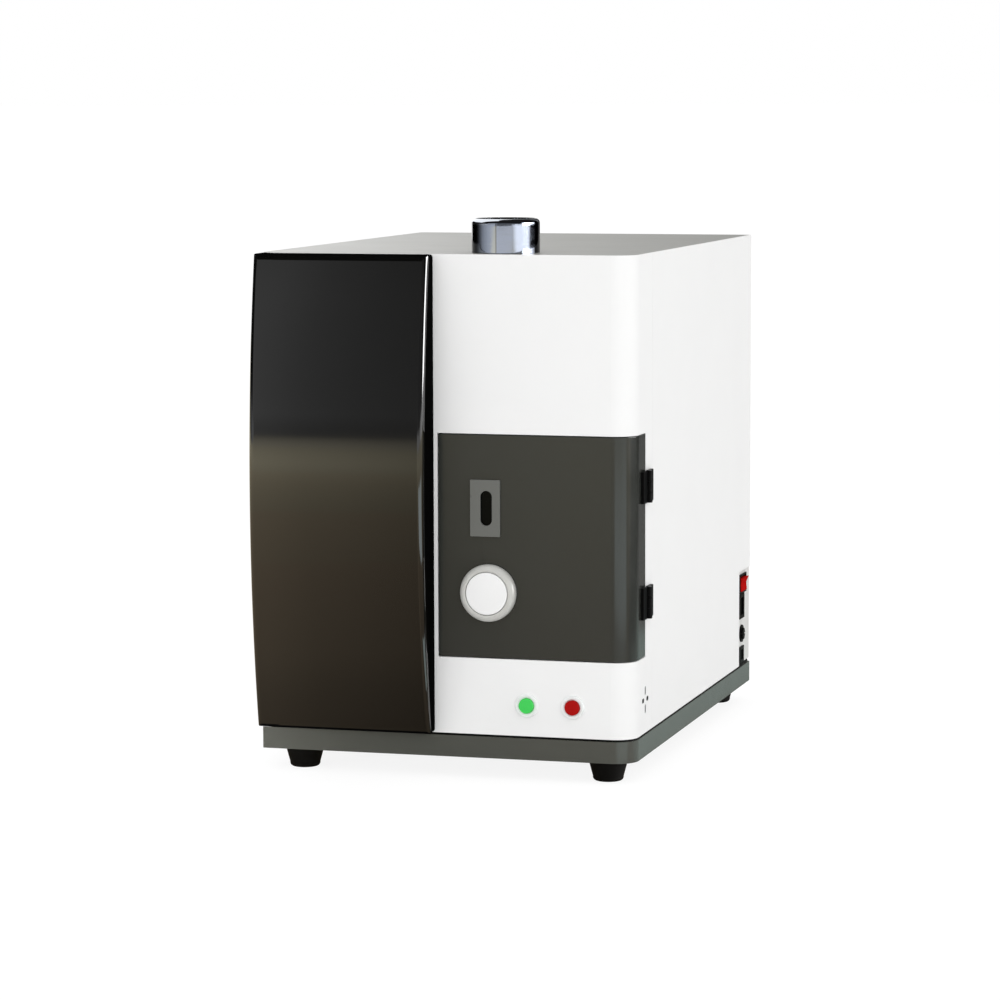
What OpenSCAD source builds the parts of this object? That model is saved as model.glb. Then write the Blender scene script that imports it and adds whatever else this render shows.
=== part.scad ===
// Bench oil emission spectrometer with a rotating-disc spark stand.
// Millimetres, +Z up. The front faces -Y and +X is to the right of someone facing it.
// The origin lies on the floor below the middle of the bounding box.

/* [Cabinet] */
// Width across the side panels
body_w = 500; // [490:2:530]
// Depth from the flat front to the rear panel
body_d = 720; // [700:5:780]
// Height of the painted shell
shell_h = 618; // [606:2:660]
// Sheet metal thickness
sheet_t = 2; // [1.6:0.1:2.4]
// Radius of the two front corners
corner_r = 30; // [26:1:34]
// Radius of the two rear corners
rear_r = 6; // [5:1:12]
// Length of the front frame along each side
wrap_d = 102; // [98:1:120]
// Width of the folded inner flanges
flange_w = 12; // [10:1:14]
// Width of the rear return of each side panel
return_w = 25; // [20:1:30]
// Open seam between neighbouring panels
seam_gap = 0.5; // [0.3:0.1:0.8]

/* [Base and feet] */
// Height of the base tray
base_h = 28; // [24:1:40]
// Wall and floor thickness of the base tray
base_wall = 3; // [2.5:0.5:4]
// Shadow gap between the base and the shell
gap_h = 3; // [1.5:0.5:4]
// Height of a rubber foot
foot_h = 27; // [20:1:36]
// Diameter of a foot at its top
foot_top_d = 51; // [44:1:54]
// Diameter of a foot at its bottom
foot_low_d = 40; // [34:1:42]
// Rounding of a foot's lower edge
foot_edge = 5; // [3:0.5:7]
// Distance of the left feet from the left side
foot_left = 47.5; // [36:0.5:60]
// Distance of the right feet from the right side
foot_right = 41; // [36:0.5:60]
// Distance of the front feet from the front
foot_front = 33; // [30:1:60]
// Distance of the rear feet from the rear
foot_rear = 43; // [30:1:60]

/* [Black front panel] */
// Width of the bowed panel
panel_w = 236; // [228:1:240]
// How far the middle of the bow stands out
bow_max = 48; // [42:1:54]
// How far the top and bottom of the bow stand out
bow_end = 22; // [20:1:26]
// Wall of the bowed panel
panel_t = 3; // [2.5:0.5:4]
// Rounding of the panel's long and short edges
edge_r = 10; // [8:0.5:12]
// Rounding of the panel's corners in front view
panel_corner = 4; // [3:0.5:5]
// How far the panel stays below the cabinet top
panel_lip = 0.5; // [0.5:0.5:3]
// How far the panel stays above the shell's lower edge
panel_rise = 0.5; // [0.5:0.5:4]

/* [Door] */
// White post between the panel and the door
post_w = 6; // [5:0.5:8]
// Height of the door
door_h = 288; // [284:1:300]
// Height of the door's lower edge above the shell's lower edge
door_rise = 100; // [94:0.5:106]
// How far the door reaches along the right side
door_wrap = 64; // [58:1:66]
// Thickness of the door
door_d = 16; // [15:0.5:18]
// Gap around the door
door_gap = 1; // [0.8:0.1:1.5]
// Depth of the pocket that the door closes into
pocket_d = 22; // [21:0.5:25]
// Distance of the pocket's hinge wall from the cabinet side
jamb_w = 24; // [22:1:28]
// Width of the door seal
seal_w = 6; // [4:0.5:8]

/* [Sight slot] */
// Slot plate's middle from the door's free edge
sight_x = 63; // [58:0.5:70]
// Slot centre above the door's lower edge
sight_z = 193.5; // [188:0.5:204]
// Width of the slot plate
sight_w = 39.5; // [36:0.5:46]
// Height of the slot plate
sight_h = 73; // [66:1:78]
// Thickness of the slot plate
sight_t = 2.5; // [2:0.5:4]
// How far the slot lies right of the plate's middle
slot_off = 1.5; // [0:0.5:3]
// Width of the slot
slot_w = 15.4; // [12:0.2:16]
// Height of the slot
slot_h = 45; // [38:1:48]
// Thickness of the filter glass
glass_t = 4; // [3:0.5:5]

/* [Latch] */
// Knob centre from the door's free edge
knob_x = 67.4; // [64:0.2:72]
// Knob centre above the door's lower edge
knob_z = 84.5; // [84:0.5:100]
// Diameter of the knob
knob_d = 74; // [66:1:80]
// Height of the knob
knob_h = 14; // [12:0.5:18]
// Diameter of the white face
cap_d = 55; // [48:1:58]
// Diameter of the spindle
spindle_d = 10; // [8:0.5:12]
// Width of the latch arm
arm_w = 12; // [10:0.5:14]
// Thickness of the latch arm
arm_t = 4; // [3:0.5:4]
// How far the latch arm reaches past the door's free edge
arm_reach = 7; // [5:0.5:8]
// Running clearance on a radius
run_fit = 0.05; // [0.03:0.01:0.08]

/* [Hinges] */
// Height of a hinge
hinge_h = 41; // [36:1:50]
// Lower hinge centre above the door's lower edge
hinge_low = 70; // [60:0.5:90]
// Upper hinge centre below the door's upper edge
hinge_high = 68; // [60:0.5:90]
// Length of a frame hinge leaf
leaf_l = 23; // [20:1:28]
// Length of a door hinge leaf
door_leaf_l = 20; // [18:1:26]
// Thickness of a hinge leaf
leaf_t = 4; // [3:0.5:5]
// Diameter of the hinge knuckle
knuckle_d = 9; // [8:0.5:11]
// Diameter of the hinge pin
pin_d = 4; // [3:0.5:5]

/* [Buttons and sounder] */
// Button centres above the shell's lower edge
button_z = 40; // [34:1:46]
// Start button's distance from the right side
start_in = 140.4; // [136:0.2:150]
// Stop button's distance from the right side
stop_in = 79.6; // [76:0.2:90]
// Diameter of a button bezel
bezel_d = 31; // [29:0.5:34]
// Height of a button bezel
bezel_h = 3.5; // [3:0.5:5]
// Diameter of a button lens
lens_d = 19.6; // [18:0.2:20]
// Diameter of a button barrel
barrel_d = 22; // [22:0.5:24]
// Travel of a button
press_l = 3.5; // [2.5:0.5:4]
// Sounder grille's distance from the front
grille_in = 66; // [60:1:72]
// Outer diameter of the grille slots
grille_d = 36; // [34:1:40]
// Width of a grille slot
grille_w = 6.5; // [5:0.5:9]
// Length of a grille slot
grille_l = 12.5; // [11:0.5:13]
// Sounder grille's middle above the buttons
grille_up = 3; // [0:0.5:6]

/* [Exhaust] */
// Stack centre from the door's free edge
stack_x = 73; // [68:0.5:84]
// Stack centre behind the front
stack_in = 64; // [63:1:70]
// Outer diameter of the stack
stack_d = 88; // [84:1:90]
// Height of the stack above the top
stack_h = 44; // [40:1:60]
// Wall of the stack
stack_t = 2; // [1.5:0.5:3]
// Rounding of the stack's turned-in rim
rim_r = 6; // [4:0.5:8]
// Inner diameter of the duct below the fan
duct_d = 60; // [54:1:62]
// Width of the exhaust fan
fan_w = 92; // [90:1:94]
// Depth of the fans
fan_t = 25; // [24:1:28]

/* [Spark chamber] */
// Depth of the spark chamber
chamber_d = 150; // [146:1:170]
// Distance of the chamber mouth from the pocket's edges
mouth_in = 17; // [15:0.5:20]
// Electrodes behind the chamber mouth
electrode_in = 75; // [72:1:80]
// Diameter of the disc electrode
disc_d = 12.5; // [12:0.1:13]
// Thickness of the disc electrode
disc_t = 5; // [3:0.5:6]
// Diameter of the drive shaft
shaft_d = 10; // [8:0.5:12]
// Diameter of the rod electrode
rod_d = 6; // [5:0.2:7]
// Length of the rod electrode
rod_l = 65; // [60:1:68]
// Gap that the spark jumps
spark_gap = 3; // [2:0.2:4]
// Travel of the sample table
lift_l = 14; // [13:0.5:15]
// Diameter of the oil cup
cup_d = 24; // [22:1:28]
// Height of the oil cup
cup_h = 12; // [10:0.5:14]
// Diameter of the table column
column_d = 12; // [10:0.5:14]

/* [Optics and electronics] */
// Inner diameter of the light tube
tube_d = 26; // [22:1:28]
// Depth of the optics housing
optics_d = 380; // [340:5:400]
// Height of the optics housing
optics_h = 145; // [130:1:150]
// Wall of the optics housing
optics_wall = 8; // [6:0.5:10]
// Distance between neighbouring detector boards
detector_pitch = 70; // [62:1:75]
// Width of a detector board
detector_w = 60; // [50:1:61]
// Height of a detector board
detector_h = 50; // [40:1:60]
// Width of the cooling fan
cool_w = 120; // [112:1:124]
// Height of the cooling fan's middle above the shell's lower edge
cool_rise = 310; // [290:5:340]
// Length of the control board
board_l = 220; // [180:5:240]
// Height of the control board
board_h = 170; // [140:5:180]
// Distance of the control board behind the electrodes
board_in = 200; // [180:5:220]
// How far the control board's lower edge lies below the light axis
board_drop = 20; // [0:5:40]
// Depth of the spark source box
source_d = 240; // [200:5:245]
// Height of the spark source box
source_h = 180; // [140:5:190]
// Depth of the power supply box
supply_d = 150; // [120:5:155]
// Height of the power supply box
supply_h = 100; // [80:5:120]
// Gap between the spark source and the power supply
module_gap = 36; // [20:2:40]
// Gap between the power supply and the rear
supply_in = 30; // [26:1:40]

/* [Power panel] */
// Width of the power panel recess
io_w = 78; // [74:1:84]
// Height of the power panel recess
io_h = 137; // [132:0.5:150]
// Width of the mains rocker
rocker_w = 36; // [32:0.5:38]
// Height of the mains rocker
rocker_h = 19.6; // [18:0.2:20]
// Tilt of the rocker each way from the middle
rocker_tilt = 8; // [5:1:10]

/* [Hidden] */
$fn = 64;

// Cabinet faces and levels
hw = body_w / 2;
front_y = -body_d / 2;
rear_y = body_d / 2;
base_z0 = foot_h;
base_z1 = base_z0 + base_h;
floor_z = base_z0 + base_wall;
cab_z0 = base_z1 + gap_h;
cab_z1 = cab_z0 + shell_h;
seam_y = front_y + wrap_d;
corner_e = 2;

// Bowed panel
panel_x1 = -hw + panel_w;
panel_h = shell_h - panel_lip - panel_rise;
bow_half = panel_h / 2;
bow_sag = bow_max - bow_end;
bow_r = (bow_half * bow_half + bow_sag * bow_sag) / (2 * bow_sag);
bow_cy = front_y - bow_max + bow_r;
bow_cz = cab_z0 + panel_rise + bow_half;

// Door, its opening and the pocket behind it
door_x0 = panel_x1 + post_w;
door_y1 = front_y + door_wrap;
door_yb = front_y + door_d;
door_z0 = cab_z0 + door_rise;
door_z1 = door_z0 + door_h;
open_x0 = door_x0 - door_gap;
open_y1 = door_y1 + door_gap;
open_z0 = door_z0 - door_gap;
open_z1 = door_z1 + door_gap;
pocket_y = front_y + pocket_d;
jamb_x = hw - jamb_w;
door_leg_x = jamb_x + 4;
slack = 0.2;

// Sight slot, knob and latch arm
plate_x = door_x0 + sight_x;
slot_x = plate_x + slot_off;
slot_z = door_z0 + sight_z;
knob_cx = door_x0 + knob_x;
knob_cz = door_z0 + knob_z;
bush_l = 3;
arm_y0 = front_y + sheet_t + bush_l + 1;
arm_l = knob_x + arm_reach;
cap_seat = knob_h * 0.6;

// Hinges
knuckle_r = knuckle_d / 2;
hinge_x = hw + 0.3 + knuckle_r;
hinge_y = door_y1 + door_gap / 2;
hinge_zs = [door_z0 + hinge_low, door_z1 - hinge_high];
hinge_out = 0.3 + knuckle_d;

// Buttons and sounder
button_cz = cab_z0 + button_z;
start_x = hw - start_in;
stop_x = hw - stop_in;
lens_out = 2.5;
grille_y = front_y + grille_in;
grille_z = button_cz + grille_up;

// Spark chamber
mouth_x0 = open_x0 + mouth_in;
mouth_x1 = jamb_x - mouth_in;
mouth_z0 = open_z0 + mouth_in + 3;
mouth_z1 = open_z1 - mouth_in - 3;
chamber_y0 = pocket_y + sheet_t;
chamber_y1 = chamber_y0 + chamber_d;
bulk_in = 25;
stand_half = 28;
stand_drop = 24;
stand_over = 14;
el_x = plate_x;
el_y = chamber_y0 + electrode_in;
el_z = slot_z - disc_d / 2 - spark_gap / 2;
stand_y = chamber_y1 - sheet_t - 20;
clamp_z = el_z + disc_d / 2 + spark_gap + 38;
dip = 2;
table_z = el_z - disc_d / 2 - (lift_l - dip) - cup_h - 4;
collar_l = 25;
table_half = 28;
table_deep = 25;
pull_l = 54;

// Exhaust
stack_cx = door_x0 + stack_x;
stack_cy = front_y + stack_in;
stack_z1 = cab_z1 + stack_h;
neck_r = stack_d / 2 - stack_t / 2;
fan_z1 = cab_z1 - 2 * sheet_t;
fan_z0 = fan_z1 - fan_t;

// Optics and electronics
wall_x = open_x0 - sheet_t - 8.5;
optics_x0 = -hw + 20;
optics_x1 = wall_x - sheet_t - 8;
optics_y0 = el_y - 60;
axis_z = slot_z;
optics_z0 = axis_z - 85;
optics_z1 = optics_z0 + optics_h;
cool_x = -hw / 2;
cool_z = cab_z0 + cool_rise;
supply_y1 = rear_y - supply_in;
supply_y0 = supply_y1 - supply_d;
supply_left = 50;
supply_right = 60;
source_y1 = supply_y0 - module_gap;
source_y0 = source_y1 - source_d;

// Power panel
io_y = rear_y - 56;
rocker_y = rear_y - 50;
rocker_z = cab_z0 + 117.5;
inlet_z = cab_z0 + 85;
fuse_z = cab_z0 + 45;
port_z = cab_z0 + 14.5;
rear_out = 3;
io_x = hw - sheet_t;
rocker_set = 1;
trunnion_r = 1.5;

// The cabinet's own middle, moved so that the origin is under the bounding box
shift = [-hinge_out / 2, (bow_max - rear_out) / 2, 0];

module placed() {
    translate(shift) children();
}

module box(x0, x1, y0, y1, z0, z1) {
    translate([x0, y0, z0]) cube([x1 - x0, y1 - y0, z1 - z0]);
}

module slab(z0, z1) {
    translate([0, 0, z0]) linear_extrude(height = z1 - z0) children();
}

module x_rod(y, z, x0, x1, r) {
    translate([x0, y, z]) rotate([0, 90, 0]) cylinder(r = r, h = x1 - x0);
}

module y_rod(x, z, y0, y1, r) {
    translate([x, y0, z]) rotate([-90, 0, 0]) cylinder(r = r, h = y1 - y0);
}

module z_rod(x, y, z0, z1, r) {
    translate([x, y, z0]) cylinder(r = r, h = z1 - z0);
}

module area(x0, x1, y0, y1) {
    translate([x0, y0]) square([x1 - x0, y1 - y0]);
}

// Plan of the cabinet with rounded corners, inset on every side
module plan(inset) {
    w = body_w - 2 * inset;
    d = body_d - 2 * inset;
    rf = max(corner_r - inset, 1);
    rr = max(rear_r - inset, 1);
    area(-w / 2, w / 2, -d / 2 + rf, d / 2 - rr);
    area(-w / 2 + rf, w / 2 - rf, -d / 2, 0);
    area(-w / 2 + rr, w / 2 - rr, 0, d / 2);
    for (s = [-1, 1]) {
        translate([s * (w / 2 - rf), -d / 2 + rf]) circle(r = rf);
        translate([s * (w / 2 - rr), d / 2 - rr]) circle(r = rr);
    }
}

module ring(inset, inner) {
    difference() {
        plan(inset);
        plan(inner);
    }
}

// Upright obround hole along Y
module y_slot(x, z, w, h, y0, y1) {
    box(x - w / 2, x + w / 2, y0, y1, z - (h - w) / 2, z + (h - w) / 2);
    for (s = [-1, 1]) y_rod(x, z + s * (h - w) / 2, y0, y1, w / 2);
}

// Base and feet

// Plan of the base, whose corner under the bowed panel is square
module base_plan(inset) {
    plan(inset);
    translate([-hw + inset, front_y + inset]) {
        area(0, corner_r, corner_e, corner_r);
        area(corner_e, corner_r, 0, corner_r);
        translate([corner_e, corner_e]) circle(r = corner_e);
    }
}

module base_tray() {
    color([0.33, 0.34, 0.32]) placed() difference() {
        union() {
            difference() {
                slab(base_z0, base_z1) base_plan(0);
                slab(floor_z, base_z1 - 2) base_plan(base_wall);
                slab(base_z1 - 3, base_z1 + 1) plan(20);
            }
            at_feet() cylinder(r = 8, h = base_wall + 6);
        }
        at_feet() translate([0, 0, -1]) cylinder(r = 3, h = base_wall + 8);
    }
}

module at_feet() {
    for (x = [-hw + foot_left, hw - foot_right]) {
        translate([x, front_y + foot_front, base_z0]) children();
        translate([x, rear_y - foot_rear, base_z0]) children();
    }
}

module base_seal() {
    color([0.05, 0.05, 0.05]) placed() slab(base_z1, cab_z0) ring(3, 2 + flange_w - 1);
}

module rubber_feet() {
    color([0.06, 0.06, 0.06]) placed() at_feet() mirror([0, 0, 1]) foot();
}

module foot() {
    rt = foot_top_d / 2;
    rl = foot_low_d / 2;
    difference() {
        rotate_extrude() {
            polygon([[0, 0], [rt, 0], [rl, foot_h - foot_edge], [0, foot_h - foot_edge]]);
            area(0, rl - foot_edge, foot_h - foot_edge - 1, foot_h);
            intersection() {
                translate([rl - foot_edge, foot_h - foot_edge]) circle(r = foot_edge);
                area(0, rl, foot_h - foot_edge, foot_h);
            }
        }
        translate([0, 0, 12]) cylinder(r = 8, h = foot_h);
        translate([0, 0, -1]) cylinder(r = 3, h = foot_h);
    }
}

// Painted shell

module front_frame() {
    color([0.95, 0.95, 0.94]) placed() difference() {
        union() {
            slab(cab_z0, cab_z1) intersection() {
                ring(0, sheet_t);
                area(-hw - 1, hw + 1, front_y - 1, seam_y);
            }
            for (z = [cab_z0, cab_z1 - 2 * sheet_t]) slab(z, z + sheet_t) intersection() {
                ring(sheet_t / 2, sheet_t + flange_w);
                area(-hw - 1, hw + 1, front_y - 1, seam_y);
            }
            for (s = [-1, 1]) scale_x(s)
                box(hw - 2 * sheet_t, hw - sheet_t, seam_y - 10, seam_y + flange_w,
                    cab_z0 + sheet_t, cab_z1 - 2 * sheet_t);
        }
        box(open_x0, hw + 1, front_y - 1, open_y1, open_z0, open_z1);
        for (x = [start_x, stop_x])
            y_rod(x, button_cz, front_y - 1, front_y + sheet_t + 1, barrel_d / 2 + 0.15);
        at_grille() grille_slot(grille_w, hw - sheet_t - 1, hw + 1);
    }
}

module scale_x(s) {
    if (s > 0) children();
    else mirror([1, 0, 0]) children();
}

module at_grille() {
    for (a = [0:90:270]) translate([0, grille_y, grille_z]) rotate([a, 0, 0]) children();
}

// One radial slot of the sounder grille, along X
module grille_slot(w, x0, x1) {
    r0 = grille_d / 2 - grille_l + grille_w / 2;
    r1 = grille_d / 2 - grille_w / 2;
    box(x0, x1, -w / 2, w / 2, r0, r1);
    for (r = [r0, r1]) x_rod(0, r, x0, x1, w / 2);
}

// Side sheet with its rear return, flanges and the step that the rear panel lands on
module side_sheet() {
    y0 = seam_y + seam_gap;
    slab(cab_z0, cab_z1) intersection() {
        ring(0, sheet_t);
        area(hw - return_w, hw + 1, y0, rear_y + 1);
    }
    for (z = [cab_z0, cab_z1 - 2 * sheet_t]) slab(z, z + sheet_t) intersection() {
        ring(sheet_t / 2, sheet_t + flange_w);
        area(hw - return_w, hw + 1, y0, rear_y + 1);
    }
    box(hw - return_w - flange_w, hw - return_w + 8, rear_y - 2 * sheet_t, rear_y - sheet_t,
        cab_z0 + sheet_t, cab_z1 - 2 * sheet_t);
}

module left_side_panel() {
    color([0.95, 0.95, 0.94]) placed() mirror([1, 0, 0]) difference() {
        side_sheet();
        for (i = [0:9]) translate([0, rear_y - 200, cab_z0 + 80 + i * 14]) {
            box(hw - sheet_t - 1, hw + 1, 0, 80, -2.5, 2.5);
            for (y = [0, 80]) x_rod(y, 0, hw - sheet_t - 1, hw + 1, 2.5);
        }
    }
}

module right_side_panel() {
    color([0.95, 0.95, 0.94]) placed() difference() {
        side_sheet();
        box(hw - 60, hw + 1, rear_y - io_w, rear_y + 1, cab_z0 - 1, cab_z0 + io_h);
    }
}

module rear_panel() {
    x1 = hw - return_w - seam_gap;
    color([0.9, 0.9, 0.89]) placed() difference() {
        box(-x1, x1, rear_y - sheet_t, rear_y, cab_z0, cab_z1);
        y_rod(cool_x, cool_z, rear_y - sheet_t - 1, rear_y + 1, cool_w * 0.475);
        for (i = [0:7]) translate([hw / 2 - 50, 0, cab_z1 - 190 + i * 16]) {
            box(0, 100, rear_y - sheet_t - 1, rear_y + 1, -3, 3);
            for (x = [0, 100]) y_rod(x, 0, rear_y - sheet_t - 1, rear_y + 1, 3);
        }
        at_screws() translate([0, 0, -sheet_t - 1]) cylinder(r = 2.1, h = sheet_t + 2);
    }
}

// Places on the rear panel's edges, with +Z out of the rear
module at_screws() {
    for (s = [-1, 1]) for (f = [0.29, 0.5, 0.74, 0.95])
        translate([s * (hw - return_w - 6), rear_y, cab_z0 + f * shell_h]) rotate([-90, 0, 0]) children();
}

module panel_screws() {
    color([0.7, 0.7, 0.72]) placed() at_screws() difference() {
        union() {
            cylinder(r = 4, h = 2.2);
            translate([0, 0, -sheet_t]) cylinder(r = 2, h = sheet_t + 1);
        }
        translate([0, 0, 1]) cylinder(r = 1.6, h = 2, $fn = 6);
    }
}

module top_panel() {
    color([0.72, 0.72, 0.69]) placed() difference() {
        slab(cab_z1 - sheet_t, cab_z1) plan(sheet_t + 0.3);
        z_rod(stack_cx, stack_cy, cab_z1 - sheet_t - 1, cab_z1 + 1, neck_r + 0.4);
    }
}

// Bowed panel

// Solid under the bow, shrunk by inset behind its outer faces and rounded by e along its edges
module bow_solid(inset, e, back) {
    r = bow_r - inset;
    x0 = -hw + inset;
    x1 = panel_x1 - inset;
    half = bow_half - inset;
    fillet_y = bow_cy - sqrt((r - e) * (r - e) - (half - e) * (half - e));
    intersection() {
        translate([0, bow_cy, bow_cz]) rotate([0, 90, 0]) rotate_extrude($fn = 240) {
            area(r - 120, r - e, x0, x1);
            area(r - 120, r, x0 + e, x1 - e);
            for (x = [x0 + e, x1 - e]) translate([r - e, x]) circle(r = e);
        }
        translate([x0 - 1, 0, 0]) rotate([90, 0, 90]) linear_extrude(height = x1 - x0 + 2) {
            area(front_y - 2 * bow_max, back, bow_cz - half + e, bow_cz + half - e);
            for (s = [-1, 1]) translate([fillet_y, bow_cz + s * (half - e)]) circle(r = e);
            area(fillet_y, back, bow_cz - half, bow_cz + half);
        }
    }
}

// What the rounded corners take off in front view
module bow_corners() {
    c = panel_corner;
    for (side = [-1, 1]) for (end = [-1, 1]) {
        x = side < 0 ? -hw + c : panel_x1 - c;
        translate([x, front_y + corner_r, bow_cz + end * (bow_half - c)])
            rotate([90, 0, 0]) linear_extrude(height = corner_r + 2 * bow_max) difference() {
                area(side < 0 ? -c - 1 : 0, side < 0 ? 0 : c + 1, end < 0 ? -c - 1 : 0, end < 0 ? 0 : c + 1);
                circle(r = c);
            }
    }
}

module bow_panel() {
    back = front_y + corner_r / 2;
    color([0.02, 0.02, 0.02]) placed() difference() {
        bow_solid(0, edge_r, back);
        bow_solid(panel_t, edge_r - panel_t + 1, front_y);
        slab(cab_z0 - 1, cab_z1 + 1) {
            plan(0);
            translate([-hw + corner_r, front_y + corner_r]) circle(r = corner_r + 0.3);
        }
        bow_corners();
    }
}

module bulkhead() {
    color([0.75, 0.76, 0.77]) placed() difference() {
        union() {
            box(wall_x - sheet_t, wall_x, front_y + bulk_in, rear_y - bulk_in, floor_z, cab_z1 - bulk_in);
            box(wall_x - 20, wall_x, front_y + bulk_in, rear_y - bulk_in, floor_z, floor_z + sheet_t);
        }
        x_rod(el_y, axis_z, wall_x - sheet_t - 1, wall_x + 1, tube_d / 2 + 4);
    }
}

// Door pocket, seal and door

module door_surround() {
    color([0.9, 0.9, 0.89]) placed() difference() {
        slab(open_z0 - sheet_t, open_z1 + sheet_t) intersection() {
            union() {
                area(open_x0 - sheet_t, jamb_x, front_y + sheet_t, pocket_y + sheet_t);
                area(jamb_x - sheet_t, hw - sheet_t, front_y + sheet_t, open_y1 + sheet_t);
            }
            pocket_plan();
        }
        slab(open_z0, open_z1) {
            area(open_x0, jamb_x + 1, front_y, pocket_y);
            area(jamb_x, hw, front_y, open_y1);
        }
        box(mouth_x0, mouth_x1, pocket_y - 1, pocket_y + sheet_t + 1, mouth_z0, mouth_z1);
        box(open_x0 - sheet_t - 1, open_x0 + 1, arm_y0 - 1.5, arm_y0 + arm_t + 1.5,
            knob_cz - 48, knob_cz + arm_w / 2 + 2);
    }
}

// Inner outline of the shell with a slightly larger corner, so that only flat faces meet it
module pocket_plan() {
    r = corner_r + 1;
    area(-hw, hw - sheet_t - r, front_y + sheet_t, 0);
    area(-hw, hw - sheet_t, front_y + sheet_t + r, 0);
    translate([hw - sheet_t - r, front_y + sheet_t + r]) circle(r = r);
}

module door_seal() {
    y0 = door_yb + 0.3;
    color([0.05, 0.05, 0.05]) placed() difference() {
        box(mouth_x0 - 2 - seal_w, mouth_x1 + 2 + seal_w, y0, pocket_y, mouth_z0 - 2 - seal_w, mouth_z1 + 2 + seal_w);
        box(mouth_x0 - 2, mouth_x1 + 2, y0 - 1, pocket_y + 1, mouth_z0 - 2, mouth_z1 + 2);
    }
}

// Plan of the door: a front leg and a side leg around the cabinet's rounded corner
module door_plan() {
    difference() {
        intersection() {
            plan(0);
            area(door_x0, hw + 1, front_y - 1, door_y1);
        }
        area(door_x0 - 1, door_leg_x, door_yb, door_y1 + 1);
    }
}

module door_hollow() {
    difference() {
        intersection() {
            plan(sheet_t);
            area(door_x0 + sheet_t, hw + 1, front_y - 1, door_y1 - sheet_t);
        }
        area(door_x0, door_leg_x - 1, door_yb + 1, door_y1 + 1);
    }
}

module door_skin() {
    color([0.25, 0.26, 0.23]) placed() difference() {
        union() {
            difference() {
                slab(door_z0, door_z1) door_plan();
                slab(door_z0 + sheet_t, door_z1 - sheet_t) door_hollow();
            }
            y_rod(knob_cx, knob_cz, front_y + sheet_t / 2, front_y + sheet_t + bush_l, spindle_d / 2 + 5);
        }
        y_slot(slot_x, slot_z, slot_w + 4, slot_h + 4, front_y - 1, front_y + sheet_t + 1);
        y_rod(knob_cx, knob_cz, front_y - 1, front_y + sheet_t + bush_l + 1, spindle_d / 2 + run_fit);
        box(door_x0 - 1, door_x0 + sheet_t + 1, arm_y0 - 1.5, arm_y0 + arm_t + 1.5,
            knob_cz - 48, knob_cz + arm_w / 2 + 2);
    }
}

module door_liner() {
    y0 = door_yb - sheet_t;
    color([0.75, 0.76, 0.77]) placed() difference() {
        slab(door_z0 + sheet_t + slack, door_z1 - sheet_t - slack) {
            area(door_x0 + sheet_t + slack, door_leg_x + sheet_t, y0, door_yb);
            area(door_leg_x, door_leg_x + sheet_t, y0, door_y1 - sheet_t - slack);
        }
        y_slot(slot_x, slot_z, slot_w + 10, slot_h + 10, y0 - 1, door_yb + 1);
    }
}

module sight_plate() {
    color([0.43, 0.44, 0.43]) placed() difference() {
        box(plate_x - sight_w / 2, plate_x + sight_w / 2, front_y - sight_t, front_y,
            slot_z - sight_h / 2, slot_z + sight_h / 2);
        y_slot(slot_x, slot_z, slot_w, slot_h, front_y - sight_t - 1, front_y + 1);
    }
}

module sight_glass() {
    y0 = front_y + sheet_t;
    color([0.05, 0.06, 0.05]) placed()
        box(slot_x - slot_w, slot_x + slot_w, y0, y0 + glass_t, slot_z - slot_h * 0.7, slot_z + slot_h * 0.7);
}

// Latch

module at_knob() {
    translate([knob_cx, front_y, knob_cz]) rotate([90, 0, 0]) children();
}

module latch_knob() {
    r = knob_d / 2;
    color([0.8, 0.8, 0.8]) placed() at_knob() {
        difference() {
            rotate_extrude() {
                area(0, r, 0.3, knob_h * 0.35);
                polygon([[0, 0.3], [r, knob_h * 0.35], [r - 1.5, knob_h * 0.62], [r - 5, knob_h * 0.85],
                    [cap_d / 2 + 0.3, knob_h * 0.93], [0, knob_h * 0.93]]);
            }
            translate([0, 0, cap_seat]) cylinder(r = cap_d / 2 + 0.25, h = knob_h);
        }
        translate([0, 0, -arm_y0 + front_y - arm_t]) cylinder(r = spindle_d / 2, h = arm_y0 - front_y + arm_t + 1);
    }
}

module knob_cap() {
    r = cap_d / 2;
    color([0.95, 0.95, 0.94]) placed() at_knob() rotate_extrude() {
        area(0, r, cap_seat, knob_h - 1);
        polygon([[0, knob_h - 2], [r, knob_h - 1], [r - 1, knob_h - 0.3], [0, knob_h]]);
    }
}

module latch_arm() {
    color([0.72, 0.73, 0.75]) placed() translate([knob_cx, arm_y0, knob_cz]) rotate([-90, 0, 0]) difference() {
        linear_extrude(height = arm_t) {
            circle(r = spindle_d / 2 + 6);
            area(-arm_w / 2, arm_w / 2, 0, arm_l - arm_w / 2);
            translate([0, arm_l - arm_w / 2]) circle(r = arm_w / 2);
        }
        translate([0, 0, -1]) cylinder(r = spindle_d / 2 + 0.02, h = arm_t + 2);
    }
}

// Hinges

// Part of a knuckle between two heights, with its bridge to the leaf on one side of the axis
module knuckle(z0, z1, side) {
    reach = knuckle_r + 1;
    z_rod(hinge_x, hinge_y, z0, z1, knuckle_r);
    if (side > 0) box(hw + 0.3, hw + leaf_t, hinge_y, hinge_y + reach, z0, z1);
    else box(hw + 0.3, hw + leaf_t, hinge_y - reach, hinge_y, z0, z1);
}

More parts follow.
